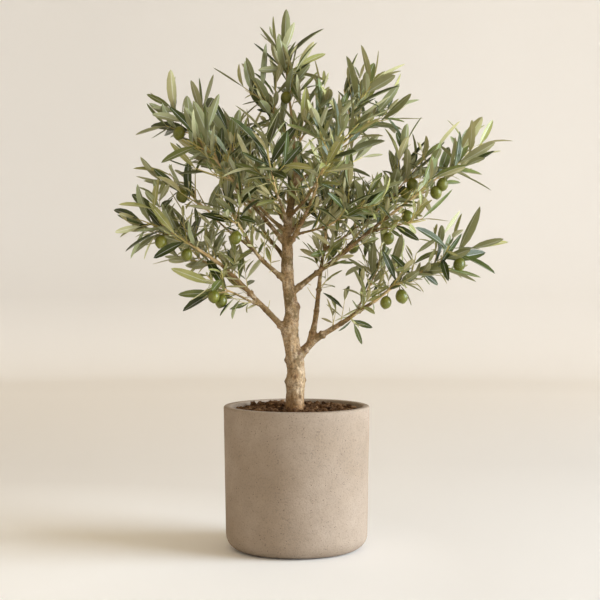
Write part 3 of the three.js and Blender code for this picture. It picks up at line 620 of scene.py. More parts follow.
def wood_curve(lines):
    """All the limbs as round curves of changing thickness, made one mesh."""
    curve = bpy.data.curves.new("limbs", "CURVE")
    curve.dimensions = "3D"
    curve.bevel_depth = 1.0
    curve.bevel_resolution = 5
    curve.use_fill_caps = True
    for line, radii in lines:
        spline = curve.splines.new("POLY")
        spline.points.add(len(line) - 1)
        places = np.column_stack((line * MM, np.ones(len(line))))
        spline.points.foreach_set("co", places.ravel())
        spline.points.foreach_set("radius", radii * MM)
    choose(add_object("limbs", curve))
    bpy.ops.object.convert(target="MESH")
    return bpy.context.object


def transported(line):
    """The way along at each point of a line, and a side way carried along it without twisting."""
    tangents = np.gradient(line, axis=0)
    tangents /= np.linalg.norm(tangents, axis=1)[:, None]
    side = sideways(tangents[0], 0)
    sides = []
    for tangent in tangents:
        side = unit(side - tangent * np.dot(side, tangent))
        sides.append(side)
    return tangents, np.array(sides)


def limb_places(points, lines):
    """Where each point of the bark lies: side and over its limb, along it, and the limb's radius."""
    axis = []
    for number, (line, radii) in enumerate(lines):
        tangents, sides = transported(line)
        run = np.append(0, np.cumsum(step_lengths(line)))
        seat = boughs[number - 1].seat_depth * 0.9 if number else 0
        for i in range(len(line)):
            if run[i] >= seat:
                axis.append((line[i], tangents[i], sides[i], run[i] + RUN_STEP * number, radii[i]))
    tree = kdtree.KDTree(len(axis))
    for n, item in enumerate(axis):
        tree.insert(item[0], n)
    tree.balance()
    found = np.empty((len(points), 4))
    for p, point in enumerate(points):
        # The limb whose bark is nearest, as far as most of its radius tells.
        best = min(tree.find_n(point, 8), key=lambda hit: hit[2] - 0.8 * axis[hit[1]][4])
        middle, tangent, side, run, radius = axis[best[1]]
        out = point - middle
        found[p] = (out @ side, out @ np.cross(tangent, side), run + out @ tangent, radius)
    return found


def wood_marks():
    """Places, sizes, heights and darkness of all the knobs on the wood, in millimetres."""
    marks = []
    for height, way, width, rise, dark in TRUNK_MARKS:
        radius = np.interp(height, [s[0] for s in TRUNK_STATIONS], trunk_radii)
        marks.append((*(place_on_trunk(height) + direction(way, 0) * radius), width, rise, dark))
    for made in boughs:
        foot, tip = made.thick
        runs = np.arange(made.seat_depth + KNOB_ENDS[0], made.length - KNOB_ENDS[1], RING_EVERY)
        for number, share in enumerate(runs / made.length):
            middle = place_along(made.points, share)
            along = heading_along(made.points, share)
            radius = (foot + (tip - foot) * share) / 2
            for k in range(2):
                out = sideways(along, KNOB_TURNS[0] * number + 180 * k + KNOB_TURNS[1] * made.seed)
                rise = radius * dealt(KNOB_RISE, chance(made.seed, number, k, 61))
                marks.append((*(middle + out * radius), dealt(KNOB_WIDTH, radius), rise, KNOB_DARK))
    return np.array(marks)


def wood_relief(points, found):
    """How far the bark stands out at each point, and how dark it is there."""
    lift = np.zeros(len(points))
    stain = np.zeros(len(points))
    for x, y, z, width, rise, dark in wood_marks():
        near = np.exp(-np.sum((points - (x, y, z)) ** 2, axis=1) / width**2)
        lift += rise * near
        stain = np.maximum(stain, dark * np.minimum(1, 1.3 * near))

    def rough(height, across, along):
        return height * np.array([noise.noise(Vector((u * across, v * across, run * along)))
                                  for u, v, run, _ in found])

    radius = found[:, 3]
    lift += np.clip(radius / FULL_RELIEF_RADIUS, LEAST_RELIEF, 1.0) * (rough(*GRAIN) + rough(*WRINKLE))
    on_trunk = found[:, 2] < 0.9 * RUN_STEP
    low = np.clip(1 - (points[:, 2] - SOIL_LEVEL) / FLARE_HEIGHT, 0, 1) * on_trunk
    way = np.arctan2(points[:, 1], points[:, 0] - trunk_points[0][0])
    lobes = np.cos(FLARE_LOBES * (way - math.pi) + FLARE_TURN * DEG)
    return lift + FLARE_SWELL * radius * low * lobes, stain


def bark_material():
    look = Look("olive_bark", 0.78, specular=0.3)
    age = look.node("Attribute", {}, "Fac", attribute_name="wood_age")
    marks = look.node("Attribute", {}, "Fac", attribute_name="wood_stain")
    along = look.node("Attribute", {}, "Vector", attribute_name="wood_grain")
    streaks = look.noise(1.0, detail=3, place=along)
    mottle = look.noise(330, detail=4, rough=0.65)
    color = look.ramp(age, (0.0, tint(138, 119, 70)), (0.16, tint(152, 124, 78)),
                      (0.45, tint(160, 131, 92)), (1.0, tint(178, 149, 110)))
    # Greenish, pale and rusty patches, and the foot stained orange-brown by the wet soil.
    color = look.spots(color, tint(112, 94, 58), look.noise(42, detail=4), (0.48, 0.0), (0.62, 0.75))
    color = look.spots(color, tint(211, 187, 154), look.noise(64, detail=4, rough=0.6),
                       (0.5, 0.0), (0.62, 0.8))
    color = look.spots(color, tint(150, 104, 66), look.noise(105, detail=3), (0.56, 0.0), (0.72, 0.5))
    foot = look.fade(look.axis("Z"), GROUND + 0.03, GROUND + 0.004, 0.0, 0.6)
    color = look.mix(foot, color, tint(150, 102, 54))
    color = look.darken(color, 0.7, streaks, (0.36, 0.66), (0.54, 1.0))
    color = look.darken(color, 0.8, mottle, (0.4, 0.5), (0.53, 1.0))
    # Small dark breathing pores, and the dark of the knobs.
    color = look.spots(color, tint(92, 62, 38), look.cells(300), (0.12, 0.75), (0.22, 0.0))
    color = look.spots(color, tint(88, 54, 30), marks, (0.05, 0.0), (0.9, 0.85))
    return look.finish(color, (streaks, 0.0008, 0.4), (mottle, 0.0013, 0.75))


def read(elements, name):
    values = np.empty(len(elements) * 3)
    elements.foreach_get(name, values)
    return values.reshape(-1, 3)


def store(data, name, kind, field, values):
    attribute = data.attributes.new(name, kind, "POINT")
    attribute.data.foreach_set(field, np.ascontiguousarray(values, np.float32).ravel())


def make_wood():
    lines = wood_lines()
    wood = wood_curve(lines)
    apply_modifier(wood, "REMESH", mode="VOXEL", voxel_size=WOOD_VOXEL * MM)
    apply_modifier(wood, "SMOOTH", factor=0.5, iterations=2)
    data = wood.data
    points = read(data.vertices, "co") / MM
    normals = read(data.vertex_normals, "vector")
    found = limb_places(points, lines)
    lift, stain = wood_relief(points, found)
    data.vertices.foreach_set("co", ((points + normals * lift[:, None]) * MM).ravel())
    data.update()
    # Young wood is 0 and the trunk's foot 1; the grain is drawn out along the limb.
    store(data, "wood_age", "FLOAT", "value", np.clip((found[:, 3] - 1.2) / 11, 0, 1))
    store(data, "wood_stain", "FLOAT", "value", stain)
    store(data, "wood_grain", "FLOAT_VECTOR", "vector", found[:, :3] * (0.3, 0.3, 0.05))
    return wood


bough_nodes = ["bough_" + made.name for made in boughs]
finish_piece(make_wood(), "bark", "bark", ["trunk", *bough_nodes], bark_material(), angle=80)

# ---------------------------------------------------------------- the twigs
# From each bough's tip a leafy stem grows on, with side twigs, and with short spurs on both and
# on the boughs' outer halves. Older twigs are tan and woody, and the young ends are pale green.

FIRST_LEAVES = {"stem": 0.3, "twig": 0.12, "spur": 0.3, "sprig": 0.4}  # shares of each kind of shoot
WOODY_SHARE = {"stem": 0.62, "twig": 0.4}
SHOOT_STEP = 6
NODE_SWELL = 1.14
TUBE_SIDES = 6
SPUR_SIDES = 5
STEM_TIP_RADIUS = 0.75
TWIG_RADII = (1.25, 0.6)
SPUR_RADII = (0.7, 0.4)
# Clear distances: twigs from wood, twigs from other masses, and spurs from wood.
LIMB_CLEARANCE = 3
TWIG_ROOM = 9
SPUR_CLEARANCE = 2
GOLDEN_TURN = 137.5  # degrees from one shoot to the next round its carrier
# Side twigs: their places on the stem, spread from it, upturn at the foot and at each step, and
# length as a share: least, more by chance, and less towards the stem's end.
TWIG_STEPS = 2
TWIG_FIRST = 0.1
TWIG_RUN = 0.72
TWIG_ROLL_STRAY = 40
TWIG_SPREAD = 48
TWIG_SPREAD_STRAY = 14
TWIG_RISE = 0.25
TWIG_UPTURN = 0.1
TWIG_LENGTH = (0.8, 0.4)
TWIG_SHORTENING = 0.3
# Spurs: how much they point along the shoot, out of it and up, and how they turn up half way.
SPUR_WAY = (0.72, 0.75, 0.35)
SPUR_UPTURN = 0.25
SPUR_LENGTHS = (16, 44)
SPUR_EVERY = 12.5
SPUR_PLACE = (0.2, 0.6)  # within its stretch: least, and more by chance
SPUR_REACH = {"stem": (0.02, 0.62), "twig": (0.08, 0.55)}  # where spurs stand on each kind of shoot
BARE_SHARE = {"low_left": 0.4, "low_right": 0.38, "mid_right": 0.3, "mid_left": 0.3, "right_upright": 0.3}
BARE_BOUGH = 0.22  # the share of any other bough that has no spurs
BOUGH_END = 0.98
SPUR_SIZES = (0.24, 0.6)  # leaves of the smallest and largest spurs, as shares of a full leaf
BOUGH_SPUR_SIZES = (0.3, 0.8)
TWIG_SIZE = 0.9
# Numbers of a mass's shoots: spurs come after its twigs, then the bough's spurs, then sprigs.
SPUR_NUMBER = 20
BOUGH_SPUR_KEY = 90
SPRIG_NUMBER = 300
# Open places in the crown, through which the sky shows: place across, height above the soil, and
# half the width and height of each.
OPENINGS = [
    (-97, 471, 17, 30), (60, 492, 12, 24), (109, 381, 26, 20), (-140, 345, 17, 26), (-208, 388, 30, 13),
    (182, 243, 14, 14), (-43, 190, 22, 34), (28, 176, 14, 26), (82, 410, 15, 18), (222, 306, 16, 13),
    (226, 174, 22, 14),
]
# Single sprigs: the limb, on its bough or its stem and where, way out and rise, length, leaf size.
SPRIGS = [
    ("low_right", "points", 0.3, 20, 74, 30, 0.62), ("low_right", "points", 0.34, 100, 60, 20, 0.5),
    ("low_right", "points", 0.62, -60, -46, 14, 0.55), ("low_left", "points", 0.34, 60, 66, 18, 0.4),
    ("right_upright", "points", 0.42, 190, 50, 26, 0.45), ("mid_left", "points", 0.3, 250, -20, 16, 0.45),
    ("right_upright", "points", 0.55, -30, 40, 22, 0.55), ("low_left", "points", 0.52, 220, -30, 14, 0.5),
    ("mid_right", "points", 0.16, -40, -30, 12, 0.35), ("right_upright", "points", 0.72, 160, 60, 30, 0.6),
    ("crown_tip", "stem", 0.6, -10, 34, 22, 0.95), ("crown_tip", "stem", 0.66, 190, 34, 12, 0.95),
    ("crown_tip", "stem", 0.3, -20, 10, 14, 0.8), ("crest_left", "stem", 0.7, 176, 12, 10, 0.9),
    ("upper_left", "stem", 0.86, 176, 12, 12, 0.9), ("upper_left", "stem", 0.93, 190, 50, 16, 0.8),
    ("low_left", "stem", 0.86, 190, -22, 14, 0.95), ("low_left", "stem", 0.72, 200, -40, 10, 0.8),
    ("low_right", "points", 0.86, 80, 80, 24, 0.7), ("right_upright", "points", 0.9, -60, 10, 18, 0.6),
]


def stem_of(mass):
    shoot = mass.shoot
    start = mass.start
    if mass.length:
        before, tip = mass.points[-2:]
        start = tip + unit(tip - before) * SEAT_GAP
    return arc(start, mass.heading + mass.turn, mass.rise + mass.lift, shoot.turn, shoot.lift,
               shoot.length, mass.seed + 100)


def twig_line(stem, shoot, seed, number):
    """A side twig: its line of points, bending slowly upwards."""
    share = TWIG_FIRST + TWIG_RUN * (number + 0.5 * chance(seed, number, 1)) / shoot.twigs
    along = heading_along(stem, share)
    roll = shoot.roll + number * GOLDEN_TURN + stray(TWIG_ROLL_STRAY, seed, number, 2)
    spread = (TWIG_SPREAD + stray(TWIG_SPREAD_STRAY, seed, number, 3)) * DEG
    way = unit(along * math.cos(spread) + sideways(along, roll) * math.sin(spread) + UP * TWIG_RISE)
    length = shoot.twig * dealt(TWIG_LENGTH, chance(seed, number, 4)) * (1 - TWIG_SHORTENING * share)
    points = [place_along(stem, share)]
    for _ in range(TWIG_STEPS):
        way = unit(way + UP * TWIG_UPTURN)
        points.append(points[-1] + way * length / TWIG_STEPS)
    return np.array(points)


def line_distances(a, b, c, d):
    """Shortest distances between the straight line a-b and each of the lines c-d."""
    u = b - a
    v = d - c
    w = a - c
    uu = u @ u
    vv = np.einsum("ij,ij->i", v, v)
    uv = v @ u
    uw = w @ u
    vw = np.einsum("ij,ij->i", v, w)
    spread = uu * vv - uv * uv
    s = np.where(spread > 1e-9, (uv * vw - vv * uw) / np.where(spread > 1e-9, spread, 1), 0).clip(0, 1)
    t = ((uv * s + vw) / vv).clip(0, 1)
    s = ((uv * t - uw) / uu).clip(0, 1)
    return np.linalg.norm(w + s[:, None] * u - t[:, None] * v, axis=1)


wood = [(trunk_points, trunk_radii), *((made.points, bough_radii(made)) for made in boughs)]
wood_starts = np.vstack([points[:-1] for points, _ in wood])
wood_ends = np.vstack([points[1:] for points, _ in wood])
wood_widths = np.concatenate([np.maximum(radii[:-1], radii[1:]) for _, radii in wood])


def clear_of_wood(a, b, radius):
    return bool(np.all(line_distances(a, b, wood_starts, wood_ends) > wood_widths + radius))


def clear_of_lines(a, b, lines, room):
    lines = np.asarray(lines)
    return not len(lines) or bool(np.all(line_distances(a, b, lines[:, 0], lines[:, 1]) > room))


def in_opening(place):
    return any(((place[0] - x) / across) ** 2 + ((place[2] - SOIL_LEVEL - z) / high) ** 2 < 1
               for x, z, across, high in OPENINGS)


def stretches(points):
    return list(zip(points, points[1:]))


def new_shoot(points, kind, number, radii, size=1.0):
    """A leafy shoot; size is its leaves', as a share of a full leaf."""
    return SimpleNamespace(points=points, kind=kind, number=number, radii=radii, size=size)


masses = [made for made in grown.values() if made.shoot]
for mass in masses:
    mass.stem = stem_of(mass)
    mass.space = stretches(mass.stem)
    mass.shoots = [new_shoot(mass.stem, "stem", 0, (mass.thick[1] / 2, STEM_TIP_RADIUS))]
for mass in masses:
    others = [line for other in masses if other is not mass for line in other.space]
    for n in range(mass.shoot.twigs):
        points = twig_line(mass.stem, mass.shoot, mass.seed, n)
        if all(clear_of_wood(a, b, LIMB_CLEARANCE) and clear_of_lines(a, b, others, TWIG_ROOM)
               for a, b in stretches(points)):
            mass.shoots.append(new_shoot(points, "twig", n + 1, TWIG_RADII, TWIG_SIZE))
            mass.space += stretches(points)


def bent_line(start, way, length):
    """A short shoot: one slight bend upwards."""
    bend = start + way * length * 0.5
    return np.array((start, bend, bend + unit(way + UP * SPUR_UPTURN) * length * 0.5))


def spurs_on(points, first, last, key, number, sizes):
    """Spurs at even distances between two shares of a limb or shoot, turning round it."""
    count = int(step_lengths(points).sum() * (last - first) / SPUR_EVERY)
    made = []
    for n in range(count):
        place = n + SPUR_PLACE[0] + SPUR_PLACE[1] * chance(*key, n, 72)
        share = first + (last - first) * place / count
        along = heading_along(points, share)
        out = sideways(along, GOLDEN_TURN * n + 360 * chance(*key, n, 73))
        way = unit(along * SPUR_WAY[0] + out * SPUR_WAY[1] + UP * SPUR_WAY[2])
        low, high = SPUR_LENGTHS
        line = bent_line(place_along(points, share), way, low + (high - low) * chance(*key, n, 71))
        low, high = sizes
        size = low + (high - low) * chance(*key, n, 74) ** 1.5
        made.append(new_shoot(line, "spur", number + n, SPUR_RADII, size))
    return made


for mass in masses:
    spurs = []
    for n, shoot in enumerate(mass.shoots):
        spurs += spurs_on(shoot.points, *SPUR_REACH[shoot.kind], (mass.seed, n),
                          SPUR_NUMBER + 10 * n, SPUR_SIZES)
    spurs = [s for s in spurs if clear_of_wood(*s.points[1:], SPUR_CLEARANCE)]
    if mass.length:
        spurs += spurs_on(mass.points, BARE_SHARE.get(mass.name, BARE_BOUGH), BOUGH_END,
                          (mass.seed, BOUGH_SPUR_KEY), SPUR_NUMBER + BOUGH_SPUR_KEY, BOUGH_SPUR_SIZES)
    mass.shoots += [s for s in spurs if not in_opening(s.points[2])]
for n, (name, line, share, heading, rise, length, size) in enumerate(SPRIGS):
    start = place_along(getattr(grown[name], line), share)
    points = bent_line(start, direction(heading, rise), length)
    grown[name].shoots.append(new_shoot(points, "sprig", SPRIG_NUMBER + n, SPUR_RADII, size))


def tube(line, radii, sides=TUBE_SIDES):
    """The rings of a round tube along a line, closed by a point at each end."""
    tangents, across = transported(line)
    over = np.cross(tangents, across)
    angles = 2 * math.pi * np.arange(sides) / sides
    round_way = across[:, None] * np.cos(angles)[:, None] + over[:, None] * np.sin(angles)[:, None]
    rings = line[:, None] + round_way * np.asarray(radii)[:, None, None]
    return line[0] - tangents[0] * 0.2, rings, line[-1] + tangents[-1] * radii[-1]


def joined_tubes(name, tubes):
    """Many closed tubes of rings as one mesh, in metres."""
    points = []
    faces = []
    for start, rings, end in tubes:
        count, sides = rings.shape[:2]
        base = len(points)
        points += [start, *rings.reshape(-1, 3), end]
        last = base + 1 + count * sides
        for s in range(sides):
            after = (s + 1) % sides
            faces.append((base, base + 1 + after, base + 1 + s))
            faces.append((last, last - sides + s, last - sides + after))
            for r in range(count - 1):
                low = base + 1 + r * sides
                faces.append((low + s, low + after, low + sides + after, low + sides + s))
    return mesh_object(name, np.array(points) * MM, faces)


def twig_material(name, dark, pale):
    look = Look(name, 0.7, specular=0.3)
    color = look.ramp(look.noise(90, detail=3), (0.35, dark), (0.65, pale))
    color = look.darken(color, 0.8, look.noise(700), (0.3, 0.8), (0.6, 1.0))
    return look.finish(color, (look.noise(1100), 0.0005, 0.4))


woody = []
green = []
for mass in masses:
    for shoot in mass.shoots:
        points = shoot.points
        line, radii = smooth_line(points, np.linspace(*shoot.radii, len(points)), SHOOT_STEP)
        if shoot.kind not in WOODY_SHARE:
            green.append(tube(line, radii, SPUR_SIDES))
            continue
        radii = radii * np.where(np.arange(len(line)) % 3 == 1, NODE_SWELL, 1.0)
        split = int(len(line) * WOODY_SHARE[shoot.kind])
        woody.append(tube(line[:split + 1], radii[:split + 1]))
        green.append(tube(line[split:], radii[split:]))
foliage_nodes = ["foliage_" + mass.name for mass in masses]
finish_piece(joined_tubes("woody_twigs", woody), "woody_twigs", "bark", foliage_nodes,
             twig_material("woody_twig", tint(188, 158, 108), tint(218, 190, 138)), angle=60)
finish_piece(joined_tubes("green_twigs", green), "green_twigs", "foliage", foliage_nodes,
             twig_material("green_twig", tint(184, 174, 98), tint(208, 186, 116)), angle=60)

# ---------------------------------------------------------------- the olives
# Unripe green olives, one here and there by a pair of leaves, each on its short stalk under a
# small calyx. The skin is glossy, with tiny pale dots, and ends in a slight point.

OLIVE_RADIUS = 8.8
OLIVE_HALF = 10.2
OLIVE_STALK = 8
OLIVE_HANG = -72
OLIVE_SIZES = (0.94, 0.12)  # least, and how much more by chance
# An olive's form, by shares of its half length: wider downwards, narrower again from half way
# down, and drawn out to a point at its end.
OLIVE_TAPER = 0.05
OLIVE_NARROW = (0.5, 0.06)
OLIVE_POINT = (0.9, 0.009)
STALK_LINE = [(0, 0, 0.8), (0.5, 0, -2.5), (0.4, 0, -5.5), (0, 0, -OLIVE_STALK - 0.4)]


def olive_material():
    look = Look("olive_skin", 0.32, specular=0.5)
    color = look.ramp(look.noise(60), (0.35, tint(92, 96, 28)), (0.65, tint(124, 124, 44)))
    color = look.spots(color, tint(186, 190, 124), look.cells(620), (0.16, 0.4), (0.28, 0.0))
    return look.finish(color, (look.noise(350), 0.0004, 0.25))


def model_olive():
    """One olive with its stalk and calyx, hanging down from the origin, in metres."""
    middle = -(OLIVE_STALK + OLIVE_HALF) * MM
    bpy.ops.mesh.primitive_uv_sphere_add(
        segments=20, ring_count=14, radius=OLIVE_RADIUS * MM, location=(0, 0, middle))
    fruit = bpy.context.object
    fruit.scale.z = OLIVE_HALF / OLIVE_RADIUS
    bpy.ops.object.transform_apply(location=True, scale=True)
    for vertex in fruit.data.vertices:
        depth = (middle - vertex.co.z) / (OLIVE_HALF * MM)
        vertex.co.xy *= 1 + OLIVE_TAPER * depth - OLIVE_NARROW[1] * max(0.0, depth - OLIVE_NARROW[0])
        vertex.co.z -= OLIVE_POINT[1] * max(0.0, depth - OLIVE_POINT[0])
    bpy.ops.mesh.primitive_cone_add(vertices=10, radius1=0.0021, radius2=0.0009, depth=0.0016,
                                    location=(0, 0, -(OLIVE_STALK + 0.1) * MM))
    calyx = bpy.context.object
    stalk = joined_tubes("stalk", [tube(np.array(STALK_LINE), (0.75, 0.6, 0.6, 0.8))])
    stem_faces = len(calyx.data.polygons) + len(stalk.data.polygons)
    choose(fruit, calyx, stalk)
    bpy.ops.object.join()
    for face in list(fruit.data.polygons)[-stem_faces:]:
        face.material_index = 1
    return fruit


# Each olive's mass and number, the place of its stalk's foot, and the way that it hangs.
olives = [(mass, n, place_along(mass.stem, share),
           direction(360 * chance(mass.seed, n, 31), OLIVE_HANG))
          for mass in masses for n, share in enumerate(mass.shoot.olives)]


def make_olives():
    first = model_olive()
    copies = []
    for mass, number, node, hang in olives:
        turn = Vector((0, 0, -1)).rotation_difference(Vector(hang)).to_matrix().to_4x4()
        size = Matrix.Scale(dealt(OLIVE_SIZES, chance(mass.seed, number, 32)), 4)
        copy = add_object("olive", first.data.copy())
        copy.data.transform(Matrix.Translation(Vector(node * MM)) @ turn @ size)
        copies.append(copy)
    bpy.data.objects.remove(first)
    choose(*copies)
    bpy.ops.object.join()
    return bpy.context.object


olive_nodes = ["foliage_" + mass.name for mass in masses if mass.shoot.olives]
finish_piece(make_olives(), "olives", "foliage", olive_nodes, olive_material(),
             bpy.data.materials["green_twig"], angle=50)

# ---------------------------------------------------------------- the leaves
# Narrow leathery leaves in crossed pairs, dull green above with a pale midrib and silvery below.
# Each is a thin closed blade, a little folded and curved; young ones at the tips are yellower.

INTERNODE = 19
SPUR_INTERNODE = 7.5
LAST_NODE = 0.97
LEAF_LENGTH = 60
LEAF_HALF_WIDTH = 0.122  # a share of its length
LEAF_THICKNESS = 0.55
LEAF_ROOM = 2.2
LEAF_ROOM_FROM_WOOD = 0.09  # a share of its length
LEAF_ROOM_FROM_OLIVES = 2
REACH_BEYOND = 0.004
# Degrees: turns from pair to pair, shoot to shoot and mass to mass, and how widely leaves stand,
# closing up along the shoot.
PAIR_TURN = 90
SHOOT_TURN = 40
MASS_TURN = 53
ROLL_STRAY = 30
LEAF_SPREAD = 62
LEAF_CLOSING = 24
SPREAD_STRAY = 18
TIP_SPREAD = (18, 24)
LEAF_TWIST = 80
LEAF_CURL = 30
LEAF_RISE = 0.12
# Shares: least, and how much more by chance.
SIZES = (0.75, 0.45)
WIDTHS = (0.9, 0.2)
FOLDS = (0.12, 0.4)
CURVES = (-0.16, 0.42)
# Leaves are largest in the middle of a stem or twig, and smaller and slimmer at its tip.
SWELL = (0.5, 0.62)
TIP_SIZE = 0.92
SLIM = 0.86
SLIM_LEAF = 30
SMALL_LEAF = 32
# Rows of the blade: share of its length and share of its full half width. Small leaves have fewer.
LEAF_OUTLINE = [(0.04, 0.13), (0.17, 0.46), (0.35, 0.9), (0.56, 1.0), (0.77, 0.82), (0.93, 0.42)]
SMALL_OUTLINE = [(0.06, 0.2), (0.3, 0.85), (0.58, 1.0), (0.86, 0.6)]
# The upper side across the blade, from edge to edge, with the midrib in the middle.
LEAF_COLUMNS = (-1.0, -0.08, 0.08, 1.0)
UNDER_RIB = 0.09
LEAF_PARTS = (0, 1, 0, 2, 3, 2)  # materials of the upper side with its midrib, and of the underside
# Linear colours of each tone: the upper side where it is darkest and palest, and the underside.
TONES = {
    "dark": (tint(48, 59, 14), tint(70, 82, 28), tint(148, 150, 104)),
    "sage": (tint(94, 105, 52), tint(120, 129, 70), tint(171, 169, 124)),
    "light": (tint(138, 141, 80), tint(163, 163, 99), tint(190, 185, 135)),
    "young": (tint(146, 147, 82), tint(172, 168, 105), tint(189, 182, 130)),
}
YOUNG_AT_TIPS = 0.32
YOUNG_AMONG_SMALL = 0.42
# What makes a leaf paler: its spray, its own chance, its place on the shoot, and its smallness.
TONE_PULLS = (0.5, 0.5, 0.2, 0.008)
MIDDLE_LENGTH = 38
DARK_BELOW = 0.4
SAGE_BELOW = 0.64


def leaves_of(shoot, mass):
    """Leaves in crossed pairs along a shoot, closing up towards its tip."""
    points, number, short = shoot.points, shoot.number, shoot.kind not in WOODY_SHARE
    first = FIRST_LEAVES[shoot.kind]
    length = step_lengths(points).sum()
    pairs = max(2, math.floor(length * (1 - first) / INTERNODE + 0.5)) + 1
    if short:
        pairs = max(2, round(length * (1 - first) / SPUR_INTERNODE))
    for j in range(pairs - 1, -1, -1):
        share = first + (LAST_NODE - first) * j / (pairs - 1)
        along = heading_along(points, share)
        at_tip = j == pairs - 1
        swell = 1.0 if short else dealt(SWELL, math.sin(math.pi * min(1, 0.05 + 0.62 * share)))
        for k in range(2):
            draw = [chance(mass.seed, number, j, k, n) for n in range(12)]
            roll = (PAIR_TURN * j + 180 * k + SHOOT_TURN * number + MASS_TURN * mass.seed
                    + ROLL_STRAY * (draw[5] - 0.5))
            angle = LEAF_SPREAD - LEAF_CLOSING * share + SPREAD_STRAY * (draw[6] - 0.5)
            if at_tip:
                angle = dealt(TIP_SPREAD, draw[6])
            way = along * math.cos(angle * DEG) + sideways(along, roll) * math.sin(angle * DEG)
            size = LEAF_LENGTH * swell * dealt(SIZES, draw[7]) * (TIP_SIZE if at_tip else 1)
            size *= shoot.size
            yield SimpleNamespace(
                node=place_along(points, share), length=size, at_tip=at_tip, share=share,
                way=unit(way + UP * (LEAF_RISE - mass.shoot.droop)), up=along + UP * 0.4,
                twist=LEAF_TWIST * (draw[8] - 0.5), draw=draw,
                slim=SLIM if at_tip or size < SLIM_LEAF else 1.0)


def leaf_rings(leaf):
    """The blade as rings round it: four points over its upper side and two under its midrib."""
    way, node, length, draw = leaf.way, leaf.node, leaf.length, leaf.draw
    across = turned(unit(np.cross(way, leaf.up)), way, leaf.twist * DEG)
    over = np.cross(across, way)
    fold = dealt(FOLDS, draw[9])
    curve = dealt(CURVES, draw[10])
    curl = LEAF_CURL * (draw[11] - 0.5) * DEG
    half = length * LEAF_HALF_WIDTH * leaf.slim * dealt(WIDTHS, draw[4])
    thick = LEAF_THICKNESS * min(1, length / LEAF_LENGTH)
    rings = []
    for t, width in SMALL_OUTLINE if length < SMALL_LEAF else LEAF_OUTLINE:
        middle = node + length * (t * way - curve * t * t * over)
        normal = unit(over + 2 * curve * t * way)
        side = turned(across, way, curl * t)
        normal = unit(normal - side * np.dot(normal, side))
        rings.append(
            [middle + (side * column + normal * fold * abs(column)) * width * half for column in LEAF_COLUMNS]
            + [middle + side * column * width * half - normal * thick * (0.5 + 0.5 * width)
               for column in (UNDER_RIB, -UNDER_RIB)])
    return node - way * 0.3, np.array(rings), node + length * (way - curve * over)


def inside_reach(tip):
    """Whether a leaf's tip is within the reach that the solids have."""
    return all(cad_low[n] - REACH_BEYOND < tip[n] * MM < cad_high[n] + REACH_BEYOND for n in range(3))


EYE = (0.0, -2000.0, 430.0)  # of someone in front of the tree
olive_spots = np.array([node + hang * (OLIVE_STALK + OLIVE_HALF) for _, _, node, hang in olives])
sights = np.stack((np.tile(EYE, (len(olives), 1)), olive_spots), axis=1)


def clear_of_olives(a, b):
    """Neither through an olive nor between it and EYE."""
    room = OLIVE_RADIUS + LEAF_ROOM_FROM_OLIVES
    way = b - a
    t = ((olive_spots - a) @ way / (way @ way)).clip(0, 1)
    nearest = np.linalg.norm(a + t[:, None] * way - olive_spots, axis=1)
    return bool(np.all(nearest > room)) and bool(
        np.all(line_distances(a, b, sights[:, 0], sights[:, 1]) >= room))


def tone_of(leaf, shoot, mass):
    """Young leaves at the tips, then tones dealt out by the shoot with a few strays."""
    draw = leaf.draw
    if draw[3] < (YOUNG_AT_TIPS if leaf.at_tip else
                  YOUNG_AMONG_SMALL if leaf.length < SMALL_LEAF else 0):
        return "young"
    of_spray, of_chance, of_place, of_length = TONE_PULLS
    pull = of_spray * chance(mass.seed, shoot.number, 81) + of_chance * draw[2]
    pull += of_place * (leaf.share - 0.5)
    pull -= of_length * (leaf.length - MIDDLE_LENGTH)
    return "dark" if pull < DARK_BELOW else "sage" if pull < SAGE_BELOW else "light"


def leaf_material(name, low, high, roughness):
    look = Look(name, roughness, specular=0.45)
    color = look.ramp(look.noise(45, detail=3), (0.35, low), (0.65, high))
    return look.finish(color, (look.noise(420), 0.0004, 0.3))


def lighter(color, share):
    return tuple(c + (1 - c) * share for c in color[:3]) + (1.0,)


def darker(color, share):
    return tuple(c * share for c in color[:3]) + (1.0,)


sprays = {tone: [] for tone in TONES}
placed = np.zeros((0, 2, 3))
for mass in masses:
    for shoot in mass.shoots:
        for leaf in leaves_of(shoot, mass):
            reach = leaf.way * leaf.length
            a, b = leaf.node + reach * 0.25, leaf.node + reach
            if (inside_reach(b) and clear_of_wood(a, b, LEAF_ROOM_FROM_WOOD * leaf.length)
                    and clear_of_olives(a, b) and not in_opening(b) and not in_opening((a + b) / 2)
                    and clear_of_lines(a, b, placed, LEAF_ROOM)):
                placed = np.vstack((placed, [[a, b]]))
                sprays[tone_of(leaf, shoot, mass)].append(leaf)
for tone, leaves in sprays.items():
    low, high, under = TONES[tone]
    looks = [
        leaf_material(f"{tone}_upper", low, high, 0.42),
        leaf_material(f"{tone}_midrib", lighter(low, 0.3), lighter(high, 0.3), 0.5),
        leaf_material(f"{tone}_underside", darker(under, 0.86), under, 0.62),
        leaf_material(f"{tone}_under_rib", lighter(under, 0.15), lighter(under, 0.3), 0.6),
    ]
    for name, small, outline in ((f"{tone}_leaves", False, LEAF_OUTLINE),
                                 (f"small_{tone}_leaves", True, SMALL_OUTLINE)):
        chosen = [leaf for leaf in leaves if (leaf.length < SMALL_LEAF) == small]
        blades = joined_tubes(name, [leaf_rings(leaf) for leaf in chosen])
        finish_piece(blades, name, "foliage", foliage_nodes, *looks, angle=50)
        parts = np.tile(np.repeat(LEAF_PARTS, len(outline) + 1), len(chosen))
        blades.data.polygons.foreach_set("material_index", parts.astype(np.int32))
        blades.data.update()
